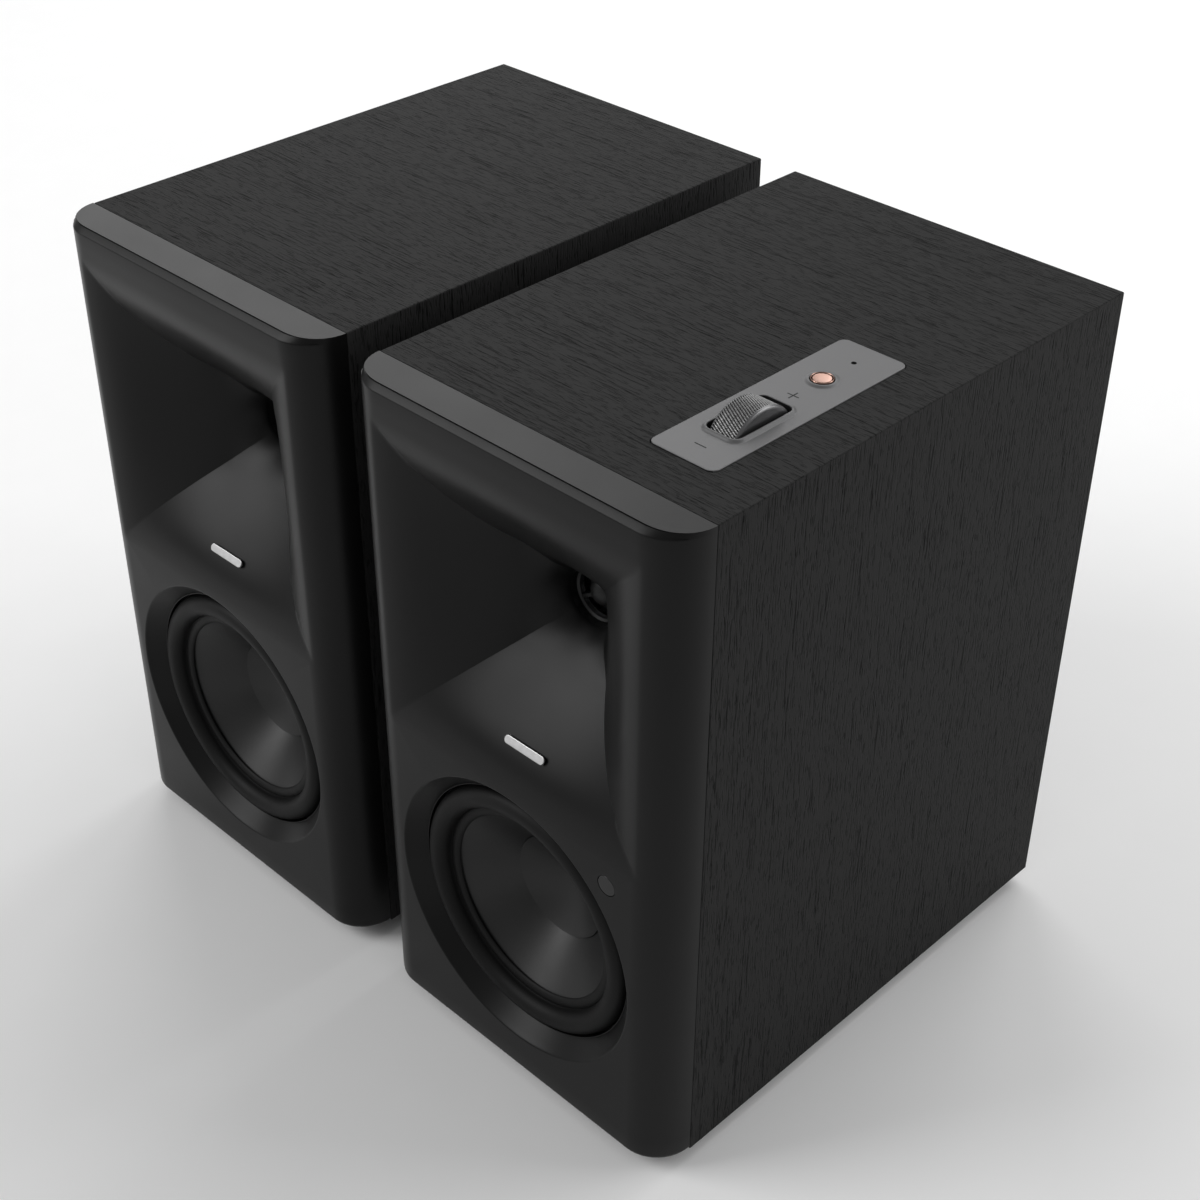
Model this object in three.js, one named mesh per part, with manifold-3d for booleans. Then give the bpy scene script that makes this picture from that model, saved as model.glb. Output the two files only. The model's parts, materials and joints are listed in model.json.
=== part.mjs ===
// A pair of powered two-way desktop loudspeakers. Each cabinet has a moulded horn baffle, a horn-loaded
// compression tweeter, a woofer with a rolled rubber surround and a rear port. The right one also carries
// the volume wheel and source button on its top, and the amplifier with its sockets in its back.
// Millimetres, +Z up, fronts facing -Y. The origin is at the middle of the pair, on the desk.
import * as THREE from "three";
import { mergeVertices } from "three/addons/utils/BufferGeometryUtils.js";
import Module from "manifold-3d";

const wasm = await Module();
wasm.setup();

// ---------------------------------------------------------------- driving dimensions

const touchGap = 0.3; // between two pieces that rest on each other
const moveGap = 0.5; // between a moving piece and what it moves in

// Cabinet
const cabinetWidth = 165;
const cabinetHeight = 298;
const cabinetDepth = 233.5;
const boardThickness = 15;
const pairGap = 19; // between the two cabinets
const rearReach = 12; // furthest that a socket or post stands out behind a cabinet

// Feet
const footHeight = 7;
const footWidth = 14;
const footSideInset = 22;
const footEndInset = 25;

// Baffle
const baffleDepth = 18.5;
const baffleCorner = 18;
const baffleEdgeRound = 1.8;
const spigotLength = 8;
const spigotWall = 4;

// Horn
const hornMouthHalf = 70;
const hornTopMargin = 12;
const hornDepth = 45.5;
const hornWall = 4;
const throatRadius = 12.5;
const throatFlangeRadius = 29;
const throatFlangeThickness = 4;

// Woofer
const dishRadius = 64.3;
const dishBottomMargin = 18;
const dishDepth = 7.5;
const dishLip = 3;
const wooferOpening = 57; // radius of the hole that the surround shows in
const rollWidth = 10.9;
const rollHeight = 5.3;
const rubberThickness = 1.1;
const frameRim = 5; // how far the woofer's frame reaches past the hole
const frameThickness = 3.5;
const coneDepth = 25.7;
const coneThickness = 1;
const capRadius = 23;
const capSag = 5.5;
const poleRadius = 12.2;
const formerThickness = 0.4;
const windingThickness = 0.6;
const coilGap = 0.4;
const magnetRadius = 42;
const magnetBore = 20;
const magnetThickness = 15.7;
const plateThickness = 6;

// Tweeter
const tweeterRadius = 28;
const tweeterLength = 31;
const plugRadius = 5.5;
const domeRadius = 12;

// Port
const portRadius = 16;
const portWall = 2.5;
const portFlare = 8;
const portLength = 92;
const portTopInset = 76;
const portFlange = 3;

// Sensor window in the right baffle
const windowRadius = 4.3;
const windowOffset = 10.8; // from the edge of the woofer's dish to the window's centre
const windowAngle = THREE.MathUtils.degToRad(45.6);

// Controls on the right cabinet's top
const controlSideInset = 37; // from the cabinet's side to the middle of the plate
const controlPlate = { width: 30, length: 105, thickness: 1.2, proud: 0.4, corner: 3, front: 22 };
const plateLedge = 4; // width of the wood that the plate rests on
const wheelRadius = 17.5;
const wheelWidth = 12.6;
const wheelReveal = 7; // how far the wheel stands above the cabinet's top
const wheelFromFront = 35.2; // along the plate, from its front end to the wheel's axis
const wheelSideGap = 1.2;
const wheelEdge = 1.6;
const axleRadius = 2;
const slotRimWidth = 1.6;
const slotRimHeight = 1;
const bracketWall = 2.4;
const buttonRadius = 4.25;
const buttonFromFront = 74.3;
const buttonHeight = 1.5;
const buttonTravel = 0.8;
const lightRadius = 0.8;
const lightFromFront = 92.2;

// Amplifier plate in the right cabinet's back, and the socket plate in the left one's
const ampPlate = { width: 124, height: 158, bottom: 18, thickness: 2.5, corner: 5, border: 8 };
const linkPlate = { width: 64, height: 52, bottom: 62, thickness: 2.5, corner: 5, border: 8 };
const socketDepth = 14; // how far a socket's housing reaches in behind its plate
const contactInset = 5; // how far in from the plate's face a socket's pins and tongues end

// Segments round a turned piece, by how much of it is seen
const wide = 28;
const hidden = 16;
const small = 16;
const tiny = 8;

// ---------------------------------------------------------------- what follows from them

const innerHalf = cabinetWidth / 2 - boardThickness;
const speakerSpacing = cabinetWidth + pairGap;
const hornZ = cabinetHeight - hornTopMargin - hornMouthHalf;
const wooferZ = dishBottomMargin + dishRadius;
const throatY = hornDepth - baffleDepth;
const lipY = dishDepth - baffleDepth; // front of the lip round the woofer
const pocketY = lipY + dishLip; // floor of the pocket that the woofer's frame sits in
const frameRadius = wooferOpening + frameRim;
const frameY = pocketY + touchGap;
const rollOuter = wooferOpening - coilGap;
const rollInner = rollOuter - rollWidth;
const coneRadius = rollInner + 0.7;
const coneEdge = rollInner - 2.7;
const windingRadius = poleRadius + coilGap + formerThickness + windingThickness;
const formerRadius = poleRadius + coilGap + formerThickness;
const neckRadius = formerRadius + coilGap;
const motorY = frameY + 37.7; // front of the woofer's top plate
const panelY = cabinetDepth - boardThickness;
const portZ = cabinetHeight - portTopInset;
const controlX = cabinetWidth / 2 - controlSideInset;
const plateTop = cabinetHeight + controlPlate.proud;
const plateY = controlPlate.front + controlPlate.length / 2;
const wheelY = controlPlate.front + wheelFromFront;
const wheelZ = cabinetHeight + wheelReveal - wheelRadius;
const plateBackY = cabinetDepth + touchGap; // inner face of a plate screwed on the back
const plateOuterY = plateBackY + ampPlate.thickness;

// ---------------------------------------------------------------- shapes

// A closed geometry as a solid, facing out whichever way its outline was drawn.
function solid(geometry) {
  const bare = geometry.index ? geometry.toNonIndexed() : geometry.clone();
  bare.deleteAttribute("normal");
  bare.deleteAttribute("uv");
  const merged = mergeVertices(bare, 1e-4);
  const vertProperties = merged.attributes.position.array;
  const make = (triVerts) => new wasm.Manifold(new wasm.Mesh({ numProp: 3, vertProperties, triVerts }));
  const faces = new Uint32Array(merged.index.array);
  const made = make(faces);
  return made.volume() > 0 ? made : make(faces.slice().reverse());
}

function geometryOf(body) {
  const mesh = body.getMesh();
  const position = new Float32Array(mesh.numVert * 3);
  for (let i = 0; i < mesh.numVert; i++) {
    position.set(mesh.vertProperties.subarray(i * mesh.numProp, i * mesh.numProp + 3), i * 3);
  }
  const geometry = new THREE.BufferGeometry();
  geometry.setAttribute("position", new THREE.BufferAttribute(position, 3));
  geometry.setIndex(new THREE.BufferAttribute(new Uint32Array(mesh.triVerts), 1));
  geometry.computeVertexNormals();
  return geometry;
}

const join = (...bodies) => bodies.reduce((all, body) => all.add(body));
const cut = (body, ...tools) => tools.reduce((left, tool) => left.subtract(tool), body);

// A box between two x, two y and two z.
function block([x0, x1], [y0, y1], [z0, z1]) {
  const box = new THREE.BoxGeometry(x1 - x0, y1 - y0, z1 - z0);
  box.translate((x0 + x1) / 2, (y0 + y1) / 2, (z0 + z1) / 2);
  return solid(box);
}

// A range centred on a middle.
const about = (middle, half) => [middle - half, middle + half];

const lathe = (profile, segments) =>
  new THREE.LatheGeometry(profile.map(([radius, along]) => new THREE.Vector2(radius, along)), segments);

// Turned about a line along Y: the profile is [radius, y].
function turned(profile, segments, x = 0, z = 0) {
  return solid(lathe(profile, segments).translate(x, 0, z));
}

// Turned about an upright line: the profile is [radius, z].
function turnedUpright(profile, segments, x, y) {
  return solid(lathe(profile, segments).rotateX(Math.PI / 2).translate(x, y, 0));
}

// Turned about a line along X: the profile is [radius, x] from the given middle.
function turnedAcross(profile, segments, x, y, z) {
  return solid(lathe(profile, segments).rotateZ(-Math.PI / 2).translate(x, y, z));
}

const rod = (radius, y0, y1, segments, x = 0, z = 0) =>
  turned([[0, y0], [radius, y0], [radius, y1], [0, y1]], segments, x, z);

const ring = (inner, outer, y0, y1, segments, x = 0, z = 0) =>
  turned([[inner, y0], [outer, y0], [outer, y1], [inner, y1], [inner, y0]], segments, x, z);

function roundedShape(width, height, radius) {
  const x = width / 2 - radius;
  const y = height / 2 - radius;
  const shape = new THREE.Shape();
  shape.absarc(x, y, radius, 0, Math.PI / 2);
  shape.absarc(-x, y, radius, Math.PI / 2, Math.PI);
  shape.absarc(-x, -y, radius, Math.PI, 1.5 * Math.PI);
  shape.absarc(x, -y, radius, 1.5 * Math.PI, 2 * Math.PI);
  return shape;
}

// A rounded slab lying flat, centred on x and y.
function slab(width, length, radius, x, y, z0, z1) {
  const options = { depth: z1 - z0, bevelEnabled: false, curveSegments: 3 };
  return solid(new THREE.ExtrudeGeometry(roundedShape(width, length, radius), options).translate(x, y, z0));
}

// A rounded plate standing upright, centred on x and z.
function plate(width, height, radius, x, z, y0, y1) {
  const options = { depth: y1 - y0, bevelEnabled: false, curveSegments: 3 };
  const made = new THREE.ExtrudeGeometry(roundedShape(width, height, radius), options);
  return solid(made.rotateX(Math.PI / 2).translate(x, y1, z));
}

// A solid skinned over rings of points, all with the same count, with both ends closed.
function loft(rings) {
  const count = rings[0].length;
  const points = rings.flat();
  const faces = [];
  for (let r = 0; r < rings.length - 1; r++) {
    for (let i = 0; i < count; i++) {
      const a = r * count + i;
      const b = r * count + ((i + 1) % count);
      faces.push(a, b, a + count, b, b + count, a + count);
    }
  }
  for (const [first, flip] of [[0, true], [(rings.length - 1) * count, false]]) {
    for (let i = 1; i < count - 1; i++) {
      faces.push(first, first + (flip ? i + 1 : i), first + (flip ? i : i + 1));
    }
  }
  const geometry = new THREE.BufferGeometry().setFromPoints(points);
  geometry.setIndex(faces);
  return solid(geometry);
}

// ---------------------------------------------------------------- cabinet

function cabinet() {
  const outside = block(about(0, cabinetWidth / 2), [touchGap, cabinetDepth], [0, cabinetHeight]);
  const z = [boardThickness, cabinetHeight - boardThickness];
  return cut(outside, block(about(0, innerHalf), [-1, cabinetDepth + 1], z));
}

// The recess and cut-out in the right cabinet's top, for the control plate and what hangs under it.
function controlOpening() {
  const { width, length, thickness, proud, corner } = controlPlate;
  const floor = cabinetHeight + proud - thickness - touchGap;
  const gap = 2 * touchGap;
  const recess = slab(width + gap, length + gap, corner, controlX, plateY, floor, cabinetHeight + 1);
  const hole = block(
    about(controlX, width / 2 - plateLedge),
    about(plateY, length / 2 - plateLedge),
    [cabinetHeight - boardThickness - 1, cabinetHeight],
  );
  return join(recess, hole);
}

// The board let into the back, with a hole for the port and one behind the plate screwed over it.
function rearPanel(backPlate) {
  const board = block(
    about(0, innerHalf - touchGap),
    [panelY, cabinetDepth],
    [boardThickness + touchGap, cabinetHeight - boardThickness - touchGap],
  );
  const past = [panelY - 1, cabinetDepth + 1];
  const portHole = rod(portRadius + portWall + touchGap, ...past, wide, 0, portZ);
  const plateHole = block(
    about(0, backPlate.width / 2 - backPlate.border),
    past,
    about(plateMiddle(backPlate), backPlate.height / 2 - backPlate.border),
  );
  return cut(board, portHole, plateHole);
}

const plateMiddle = (backPlate) => backPlate.bottom + backPlate.height / 2;

function foot(y) {
  const length = cabinetWidth - 2 * footSideInset;
  return slab(length, footWidth, footWidth / 2 - 0.1, 0, y, -footHeight, -touchGap);
}

function port() {
  const mouth = portRadius + portFlare;
  const outside = portRadius + portWall;
  const back = plateBackY + portFlange;
  const front = back - portLength;
  const flare = (turn) => [
    portRadius + portFlare * (1 - Math.cos(turn)),
    back - portFlare * (1 - Math.sin(turn)),
  ];
  return turned([
    [mouth, back],
    flare(Math.PI / 3),
    flare(Math.PI / 6),
    [portRadius, back - portFlare],
    [portRadius, front],
    [outside, front],
    [outside, plateBackY],
    [mouth + portWall, plateBackY],
    [mouth + portWall, back],
    [mouth, back],
  ], wide, 0, portZ);
}

// ---------------------------------------------------------------- baffle and horn

// How far behind the baffle's front the horn's wall lies where the horn is this wide.
function hornDepthAt(half) {
  const share = (hornMouthHalf - half) / (hornMouthHalf - throatRadius);
  return hornDepth * (1 - (1 - share ** 1.8) ** 0.75);
}

// One ring of the horn: a circle at the throat that turns into a square with tight corners.
function hornRing(half, y, extra = 0) {
  const count = 32;
  const grown = THREE.MathUtils.smoothstep(half, throatRadius, 2 * throatRadius);
  const power = 2 + 14 * grown;
  return Array.from({ length: count }, (_, i) => {
    const angle = (2 * Math.PI * i) / count;
    const cos = Math.cos(angle);
    const sin = Math.sin(angle);
    const reach = (half + extra) / (Math.abs(cos) ** power + Math.abs(sin) ** power) ** (1 / power);
    return new THREE.Vector3(reach * cos, y, hornZ + reach * sin);
  });
}

// Shares of the way from throat to mouth at which the horn's wall is drawn.
const hornSteps = [0, 0.07, 0.17, 0.3, 0.45, 0.62, 0.8, 1];

function hornRings(extra) {
  return hornSteps.map((step) => {
    const half = THREE.MathUtils.lerp(throatRadius, hornMouthHalf, step);
    return hornRing(half, hornDepthAt(half) - baffleDepth, extra);
  });
}

function hornCavity() {
  const back = hornRing(throatRadius, throatY + 1);
  const front = hornRing(hornMouthHalf, -baffleDepth - 10);
  return loft([back, ...hornRings(0), front]);
}

function hornShell() {
  const flange = rod(throatFlangeRadius, throatY - throatFlangeThickness, throatY, wide, 0, hornZ);
  const wall = loft(hornRings(hornWall).slice(0, 6));
  return join(wall, flange);
}

// The moulding's plan: flat across the front, with its sides swept back to the cabinet.
function bafflePlate() {
  const half = cabinetWidth / 2;
  const spare = 4;
  const plan = new THREE.Shape();
  plan.moveTo(half, spare);
  plan.lineTo(-half, spare);
  plan.absellipse(baffleCorner - half, 0, baffleCorner, baffleDepth, Math.PI, 1.5 * Math.PI);
  plan.absellipse(half - baffleCorner, 0, baffleCorner, baffleDepth, 1.5 * Math.PI, 2 * Math.PI);
  const made = new THREE.ExtrudeGeometry(plan, {
    depth: cabinetHeight - 2 * baffleEdgeRound,
    bevelThickness: baffleEdgeRound,
    bevelSize: baffleEdgeRound,
    bevelOffset: -baffleEdgeRound,
    bevelSegments: 2,
    curveSegments: 6,
  });
  const whole = solid(made.translate(0, 0, baffleEdgeRound));
  return cut(whole, block(about(0, cabinetWidth), [0, 2 * spare], [-1, cabinetHeight + 1]));
}

// The frame on the baffle's back that slips into the cabinet's mouth.
function spigot() {
  const x = innerHalf - touchGap;
  const z0 = boardThickness + touchGap;
  const z1 = cabinetHeight - z0;
  const outer = block(about(0, x), [-1, spigotLength], [z0, z1]);
  const innerZ = [z0 + spigotWall, z1 - spigotWall];
  return cut(outer, block(about(0, x - spigotWall), [-2, spigotLength + 1], innerZ));
}

function wooferOpeningTool() {
  const slope = (dishRadius - wooferOpening) / dishDepth;
  return turned([
    [0, -baffleDepth - 1],
    [dishRadius + slope, -baffleDepth - 1],
    [wooferOpening, lipY],
    [wooferOpening, pocketY],
    [frameRadius + touchGap, pocketY],
    [frameRadius + touchGap, spigotLength + 1],
    [0, spigotLength + 1],
  ], wide, 0, wooferZ);
}

const windowX = (dishRadius + windowOffset) * Math.cos(windowAngle);
const windowZ = wooferZ + (dishRadius + windowOffset) * Math.sin(windowAngle);

function sensorWindow() {
  return turned([
    [0, -baffleDepth],
    [windowRadius, -baffleDepth],
    [windowRadius, 6 - baffleDepth],
    [0, 6 - baffleDepth],
  ], small, windowX, windowZ);
}

function baffle(hasWindow) {
  const whole = join(bafflePlate(), spigot(), hornShell());
  const windowHole = rod(windowRadius + touchGap, -baffleDepth - 1, 1, small, windowX, windowZ);
  return cut(whole, hornCavity(), wooferOpeningTool(), ...(hasWindow ? [windowHole] : []));
}

// ---------------------------------------------------------------- woofer

const coneSlope = coneDepth / (coneEdge - neckRadius);
const coneY = (radius) => frameY + touchGap + (coneEdge - radius) * coneSlope;
const landing = frameY + 29; // where the spider is glued to the frame
const landingRadius = magnetBore + 13;

function wooferFrame() {
  const back = motorY - touchGap;
  const inside = wooferOpening - 4;
  const whole = turned([
    [inside, frameY],
    [frameRadius, frameY],
    [frameRadius, frameY + frameThickness],
    [wooferOpening + 0.5, frameY + frameThickness],
    [landingRadius + 10, landing + 3],
    [landingRadius + 7, back],
    [magnetBore, back],
    [magnetBore, back - 2.7],
    [landingRadius, back - 2.7],
    [landingRadius, landing],
    [landingRadius + 6, landing],
    [inside, frameY + frameThickness],
    [inside, frameY],
  ], wide);
  const openings = Array.from({ length: 6 }, (_, i) => {
    const tool = new THREE.BoxGeometry(26, landing - frameY - 9, 2 * frameRadius);
    tool.translate(0, (frameY + landing) / 2, landingRadius + frameRadius);
    return solid(tool.rotateY(((i + 0.5) * Math.PI) / 3));
  });
  return cut(whole, ...openings).translate([0, 0, wooferZ]);
}

// A half-round roll between two flat flanges.
function surround() {
  const foot = frameY - touchGap - rubberThickness;
  const middle = (rollOuter + rollInner) / 2;
  const steps = 6;
  const roll = (inset, turn) => [
    middle + (rollWidth / 2 - inset) * Math.cos(turn),
    foot - (rollHeight - inset) * Math.sin(turn),
  ];
  const turns = Array.from({ length: steps + 1 }, (_, i) => (i * Math.PI) / steps);
  const outside = turns.map((turn) => roll(0, turn));
  const inside = turns.slice().reverse().map((turn) => roll(rubberThickness, turn));
  return turned([
    ...outside,
    [coneEdge, foot],
    [coneEdge, foot + rubberThickness],
    [rollInner + rubberThickness, foot + rubberThickness],
    ...inside,
    [rollOuter - rubberThickness, foot + rubberThickness],
    [rollOuter, foot + rubberThickness],
    outside[0],
  ], wide, 0, wooferZ);
}

function cone() {
  const lift = coneThickness * Math.hypot(1, coneSlope);
  return turned([
    [coneRadius, frameY],
    [coneEdge, frameY],
    [coneEdge, coneY(coneEdge)],
    [neckRadius, coneY(neckRadius)],
    [neckRadius, coneY(neckRadius) + lift],
    [coneEdge, coneY(coneEdge) + lift],
    [coneRadius, frameY + coneThickness],
    [coneRadius, frameY],
  ], wide, 0, wooferZ);
}

// A shallow dish, hollow side out, over the middle of the cone.
function dustCap() {
  const rim = coneY(capRadius) - touchGap;
  const steps = 3;
  const face = (drop) =>
    Array.from({ length: steps + 1 }, (_, i) => {
      const radius = (capRadius * i) / steps;
      return [radius, rim - drop + capSag * (1 - (radius / capRadius) ** 2)];
    });
  return turned([...face(coneThickness), ...face(0.15).reverse()], wide, 0, wooferZ);
}

function spider() {
  const y = landing - touchGap - 1;
  const outer = landingRadius + 5;
  const waves = 5;
  const wave = (i) => {
    const radius = THREE.MathUtils.lerp(neckRadius, landingRadius, i / waves);
    return [radius, y + (i === 0 || i === waves ? 0 : 1.1 * (i % 2 ? 1 : -1))];
  };
  const front = Array.from({ length: waves + 1 }, (_, i) => wave(i));
  const back = front.slice().reverse().map(([radius, along]) => [radius, along + 0.7]);
  return turned([...front, [outer, y], [outer, y + 0.7], ...back, front[0]], hidden, 0, wooferZ);
}

function voiceCoil() {
  const inner = poleRadius + coilGap;
  const start = coneY(neckRadius) - 1;
  const end = motorY + plateThickness + 4;
  return turned([
    [inner, start],
    [formerRadius, start],
    [formerRadius, motorY - 3],
    [windingRadius, motorY - 3],
    [windingRadius, end],
    [inner, end],
    [inner, start],
  ], hidden, 0, wooferZ);
}

const topPlate = () =>
  ring(windingRadius + coilGap, magnetRadius - 5, motorY, motorY + plateThickness, hidden, 0, wooferZ);

const magnetY = motorY + plateThickness + touchGap;

const magnet = () => ring(magnetBore, magnetRadius, magnetY, magnetY + magnetThickness, hidden, 0, wooferZ);

function yoke() {
  const back = magnetY + magnetThickness + touchGap;
  return turned([
    [0, motorY],
    [poleRadius, motorY],
    [poleRadius, back],
    [magnetRadius - 5, back],
    [magnetRadius - 7, back + plateThickness],
    [0, back + plateThickness],
  ], hidden, 0, wooferZ);
}

// ---------------------------------------------------------------- tweeter

const tweeterY = throatY + touchGap;
const plugBack = tweeterY + 5.5;
const domeY = plugBack + moveGap;
const chamberRadius = domeRadius + 6;

// A bullet held in a ring by three ribs, with the sound passing between them.
function phasePlug() {
  const bullet = turned([
    [0, throatY + 2],
    [plugRadius * 0.6, throatY + 2.6],
    [plugRadius, throatY + 4.4],
    [plugRadius, plugBack],
    [0, plugBack],
  ], small, 0, hornZ);
  const rim = ring(throatRadius - 2, throatRadius - touchGap, tweeterY + 2.5, plugBack, small, 0, hornZ);
  const ribs = [0, 1, 2].map((i) => {
    const rib = new THREE.BoxGeometry(1.4, plugBack - tweeterY - 3, throatRadius - plugRadius);
    rib.translate(0, (plugBack + tweeterY + 3) / 2, (throatRadius + plugRadius) / 2 - 1);
    return solid(rib.rotateY((i * 2 * Math.PI) / 3).translate(0, 0, hornZ));
  });
  return join(bullet, rim, ...ribs);
}

function diaphragm() {
  const sag = 3.5;
  const face = (lift) =>
    [0, 0.4, 0.75, 1].map((share) => [share * domeRadius, domeY + lift + sag * share ** 2]);
  const flange = chamberRadius - moveGap;
  return turned([
    ...face(0),
    [flange, domeY + sag],
    [flange, domeY + sag + 0.6],
    ...face(0.6).reverse(),
  ], small, 0, hornZ);
}

function tweeterMotor() {
  const chamberFront = domeY - moveGap;
  const chamberBack = domeY + 3.5 + 0.6 + 1;
  const back = tweeterY + tweeterLength;
  return turned([
    [throatRadius, tweeterY],
    [tweeterRadius, tweeterY],
    [tweeterRadius, back - 3],
    [tweeterRadius - 3, back],
    [0, back],
    [0, chamberBack],
    [chamberRadius, chamberBack],
    [chamberRadius, chamberFront],
    [throatRadius, chamberFront],
    [throatRadius, tweeterY],
  ], small, 0, hornZ);
}

// ---------------------------------------------------------------- controls

const slotWidth = wheelWidth + 2 * wheelSideGap;
const slotLength = 2 * Math.sqrt(wheelRadius ** 2 - (wheelRadius - wheelReveal) ** 2) + 4;
const buttonY = controlPlate.front + buttonFromFront;
const lightY = controlPlate.front + lightFromFront;

function topControlPlate() {
  const { width, length, thickness, corner } = controlPlate;
  const body = slab(width, length, corner, controlX, plateY, plateTop - thickness, plateTop);
  const rimTop = plateTop + slotRimHeight;
  const rim = 2 * slotRimWidth;
  const slotRim = slab(
    slotWidth + rim, slotLength + rim, 4, controlX, wheelY, plateTop - thickness, rimTop,
  );
  const below = plateTop - thickness - 1;
  const above = rimTop + 1;
  const hole = (radius, y, segments) =>
    turnedUpright([[0, below], [radius, below], [radius, above], [0, above]], segments, controlX, y);
  return cut(
    join(body, slotRim),
    slab(slotWidth, slotLength, 2.5, controlX, wheelY, below, above),
    hole(buttonRadius + moveGap, buttonY, small),
    hole(lightRadius + touchGap, lightY, tiny),
  );
}

function volumeWheel() {
  const half = wheelWidth / 2;
  const axle = half + wheelSideGap + bracketWall;
  return turnedAcross([
    [0, -axle],
    [axleRadius, -axle],
    [axleRadius, -half],
    [wheelRadius - wheelEdge, -half],
    [wheelRadius, wheelEdge - half],
    [wheelRadius, half - wheelEdge],
    [wheelRadius - wheelEdge, half],
    [axleRadius, half],
    [axleRadius, axle],
    [0, axle],
  ], wide, controlX, wheelY, wheelZ);
}

// The frame under the plate whose two long sides carry the wheel's axle.
function wheelBracket() {
  const inside = wheelWidth / 2 + wheelSideGap;
  const top = plateTop - controlPlate.thickness - touchGap;
  const z = [wheelZ - axleRadius - 3, top];
  const along = wheelRadius + 1;
  const wall = block(about(controlX, inside + bracketWall), about(wheelY, along + bracketWall), z);
  const room = block(about(controlX, inside), about(wheelY, along), [z[0] - 1, top + 1]);
  const reach = inside + bracketWall + 1;
  const bore = axleRadius + touchGap;
  const axleHole = turnedAcross(
    [[0, -reach], [bore, -reach], [bore, reach], [0, reach]], wide, controlX, wheelY, wheelZ,
  );
  return cut(wall, room, axleHole);
}

const switchTop = plateTop - 8.5;

function sourceButton() {
  const top = plateTop + buttonHeight;
  const bottom = switchTop + buttonTravel + 0.1;
  return turnedUpright([
    [0, bottom],
    [1.5, bottom],
    [1.5, bottom + 2],
    [buttonRadius, bottom + 2],
    [buttonRadius, top - 0.5],
    [buttonRadius - 0.5, top],
    [0, top],
  ], small, controlX, buttonY);
}

const boardTop = switchTop - 3.5;
const boardMiddle = (buttonY + lightY) / 2;

// The small circuit board under the button, with the switch that the button presses.
function controlBoard() {
  const half = controlPlate.width / 2 - plateLedge - moveGap;
  const board = block(about(controlX, half), about(boardMiddle, 16), [boardTop - 1.6, boardTop]);
  return join(board, block(about(controlX, 3), about(buttonY, 3), [boardTop - 0.1, switchTop]));
}

function lightPipe() {
  const bottom = boardTop + touchGap;
  const top = plateTop - 0.05;
  return turnedUpright(
    [[0, bottom], [lightRadius, bottom], [lightRadius, top], [0, top]], tiny, controlX, lightY,
  );
}

// ---------------------------------------------------------------- back plates and sockets

// Where each socket sits on the amplifier plate: x from its middle, z above its bottom edge.
const sockets = {
  mains: { x: -34, z: 28, width: 28, height: 20 },
  link: { x: 34, z: 26, radius: 9 },
  ground: { x: 8, z: 26 },
  hdmi: { x: -38, z: 134, width: 17, height: 8 },
  optical: { x: -12, z: 134, width: 10, height: 10 },
  usb: { x: 10, z: 134, width: 13, height: 12 },
  inputs: { x: 40, z: 126, spacing: 16, radius: 4.2 },
  aux: { x: -38, z: 104, radius: 3.6 },
  subwoofer: { x: 40, z: 88, radius: 4.2 },
  level: { x: 10, z: 104, travel: 4 },
  channel: { x: -12, z: 104, travel: 4 },
};
const onPlate = ({ x, z }) => [x, ampPlate.bottom + z];
const housingY = [plateBackY - socketDepth, plateBackY - touchGap];
const postRadius = 2;
const nutRadius = 5.5;
const knob = { width: 3.6, height: 4 };

// A box-shaped socket: a shell through the plate, hollow to its floor, with contacts of the given
// [x, z, width, height] standing in it.
function boxSocket({ width, height, ...place }, wall, contacts) {
  const [x, z] = onPlate(place);
  const face = plateOuterY + 0.5;
  const shell = block(about(x, width / 2), [housingY[0], face], about(z, height / 2));
  const room = block(about(x, width / 2 - wall), [housingY[0] + 2, face + 1], about(z, height / 2 - wall));
  const contactY = [housingY[0] + 1, plateOuterY - contactInset];
  const standing = contacts.map(([right, up, wide, high]) =>
    block(about(x + right, wide / 2), contactY, about(z + up, high / 2)),
  );
  return join(cut(shell, room), ...standing);
}

// A round socket with a barrel that stands out, on a housing behind the plate.
function barrelSocket(places, radius, bore, proud, housing) {
  const xs = places.map(([x]) => x);
  const zs = places.map(([, z]) => z);
  const body = block(
    [Math.min(...xs) - housing, Math.max(...xs) + housing],
    housingY,
    [Math.min(...zs) - housing, Math.max(...zs) + housing],
  );
  const outer = plateOuterY + proud;
  const barrels = places.map(([x, z]) => rod(radius, housingY[1] - 1, outer, small, x, z));
  const bores = places.map(([x, z]) => rod(bore, housingY[0] + 4, outer + 1, small, x, z));
  return cut(join(body, ...barrels), ...bores);
}

function linkSocket(x, z) {
  const { radius } = sockets.link;
  const cup = turned([
    [0, housingY[0]],
    [radius, housingY[0]],
    [radius, plateOuterY + 2],
    [radius - 1.8, plateOuterY + 2],
    [radius - 1.8, housingY[0] + 4],
    [0, housingY[0] + 4],
  ], small, x, z);
  const pins = [0, 1, 2, 3].map((i) => {
    const turn = ((2 * i + 1) * Math.PI) / 4;
    const reach = radius * 0.5;
    const place = [x + reach * Math.cos(turn), z + reach * Math.sin(turn)];
    return rod(0.9, housingY[0] + 3, plateOuterY - contactInset, tiny, ...place);
  });
  return join(cup, ...pins);
}

const inputPlaces = () => {
  const [x, z] = onPlate(sockets.inputs);
  return [0, sockets.inputs.spacing].map((rise) => [x, z - sockets.inputs.spacing / 2 + rise]);
};

function groundPost() {
  const [x, z] = onPlate(sockets.ground);
  const washer = rod(nutRadius, plateBackY - 3, plateBackY - touchGap, small, x, z);
  return join(washer, rod(postRadius, plateBackY - 4, cabinetDepth + rearReach, small, x, z));
}

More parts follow.
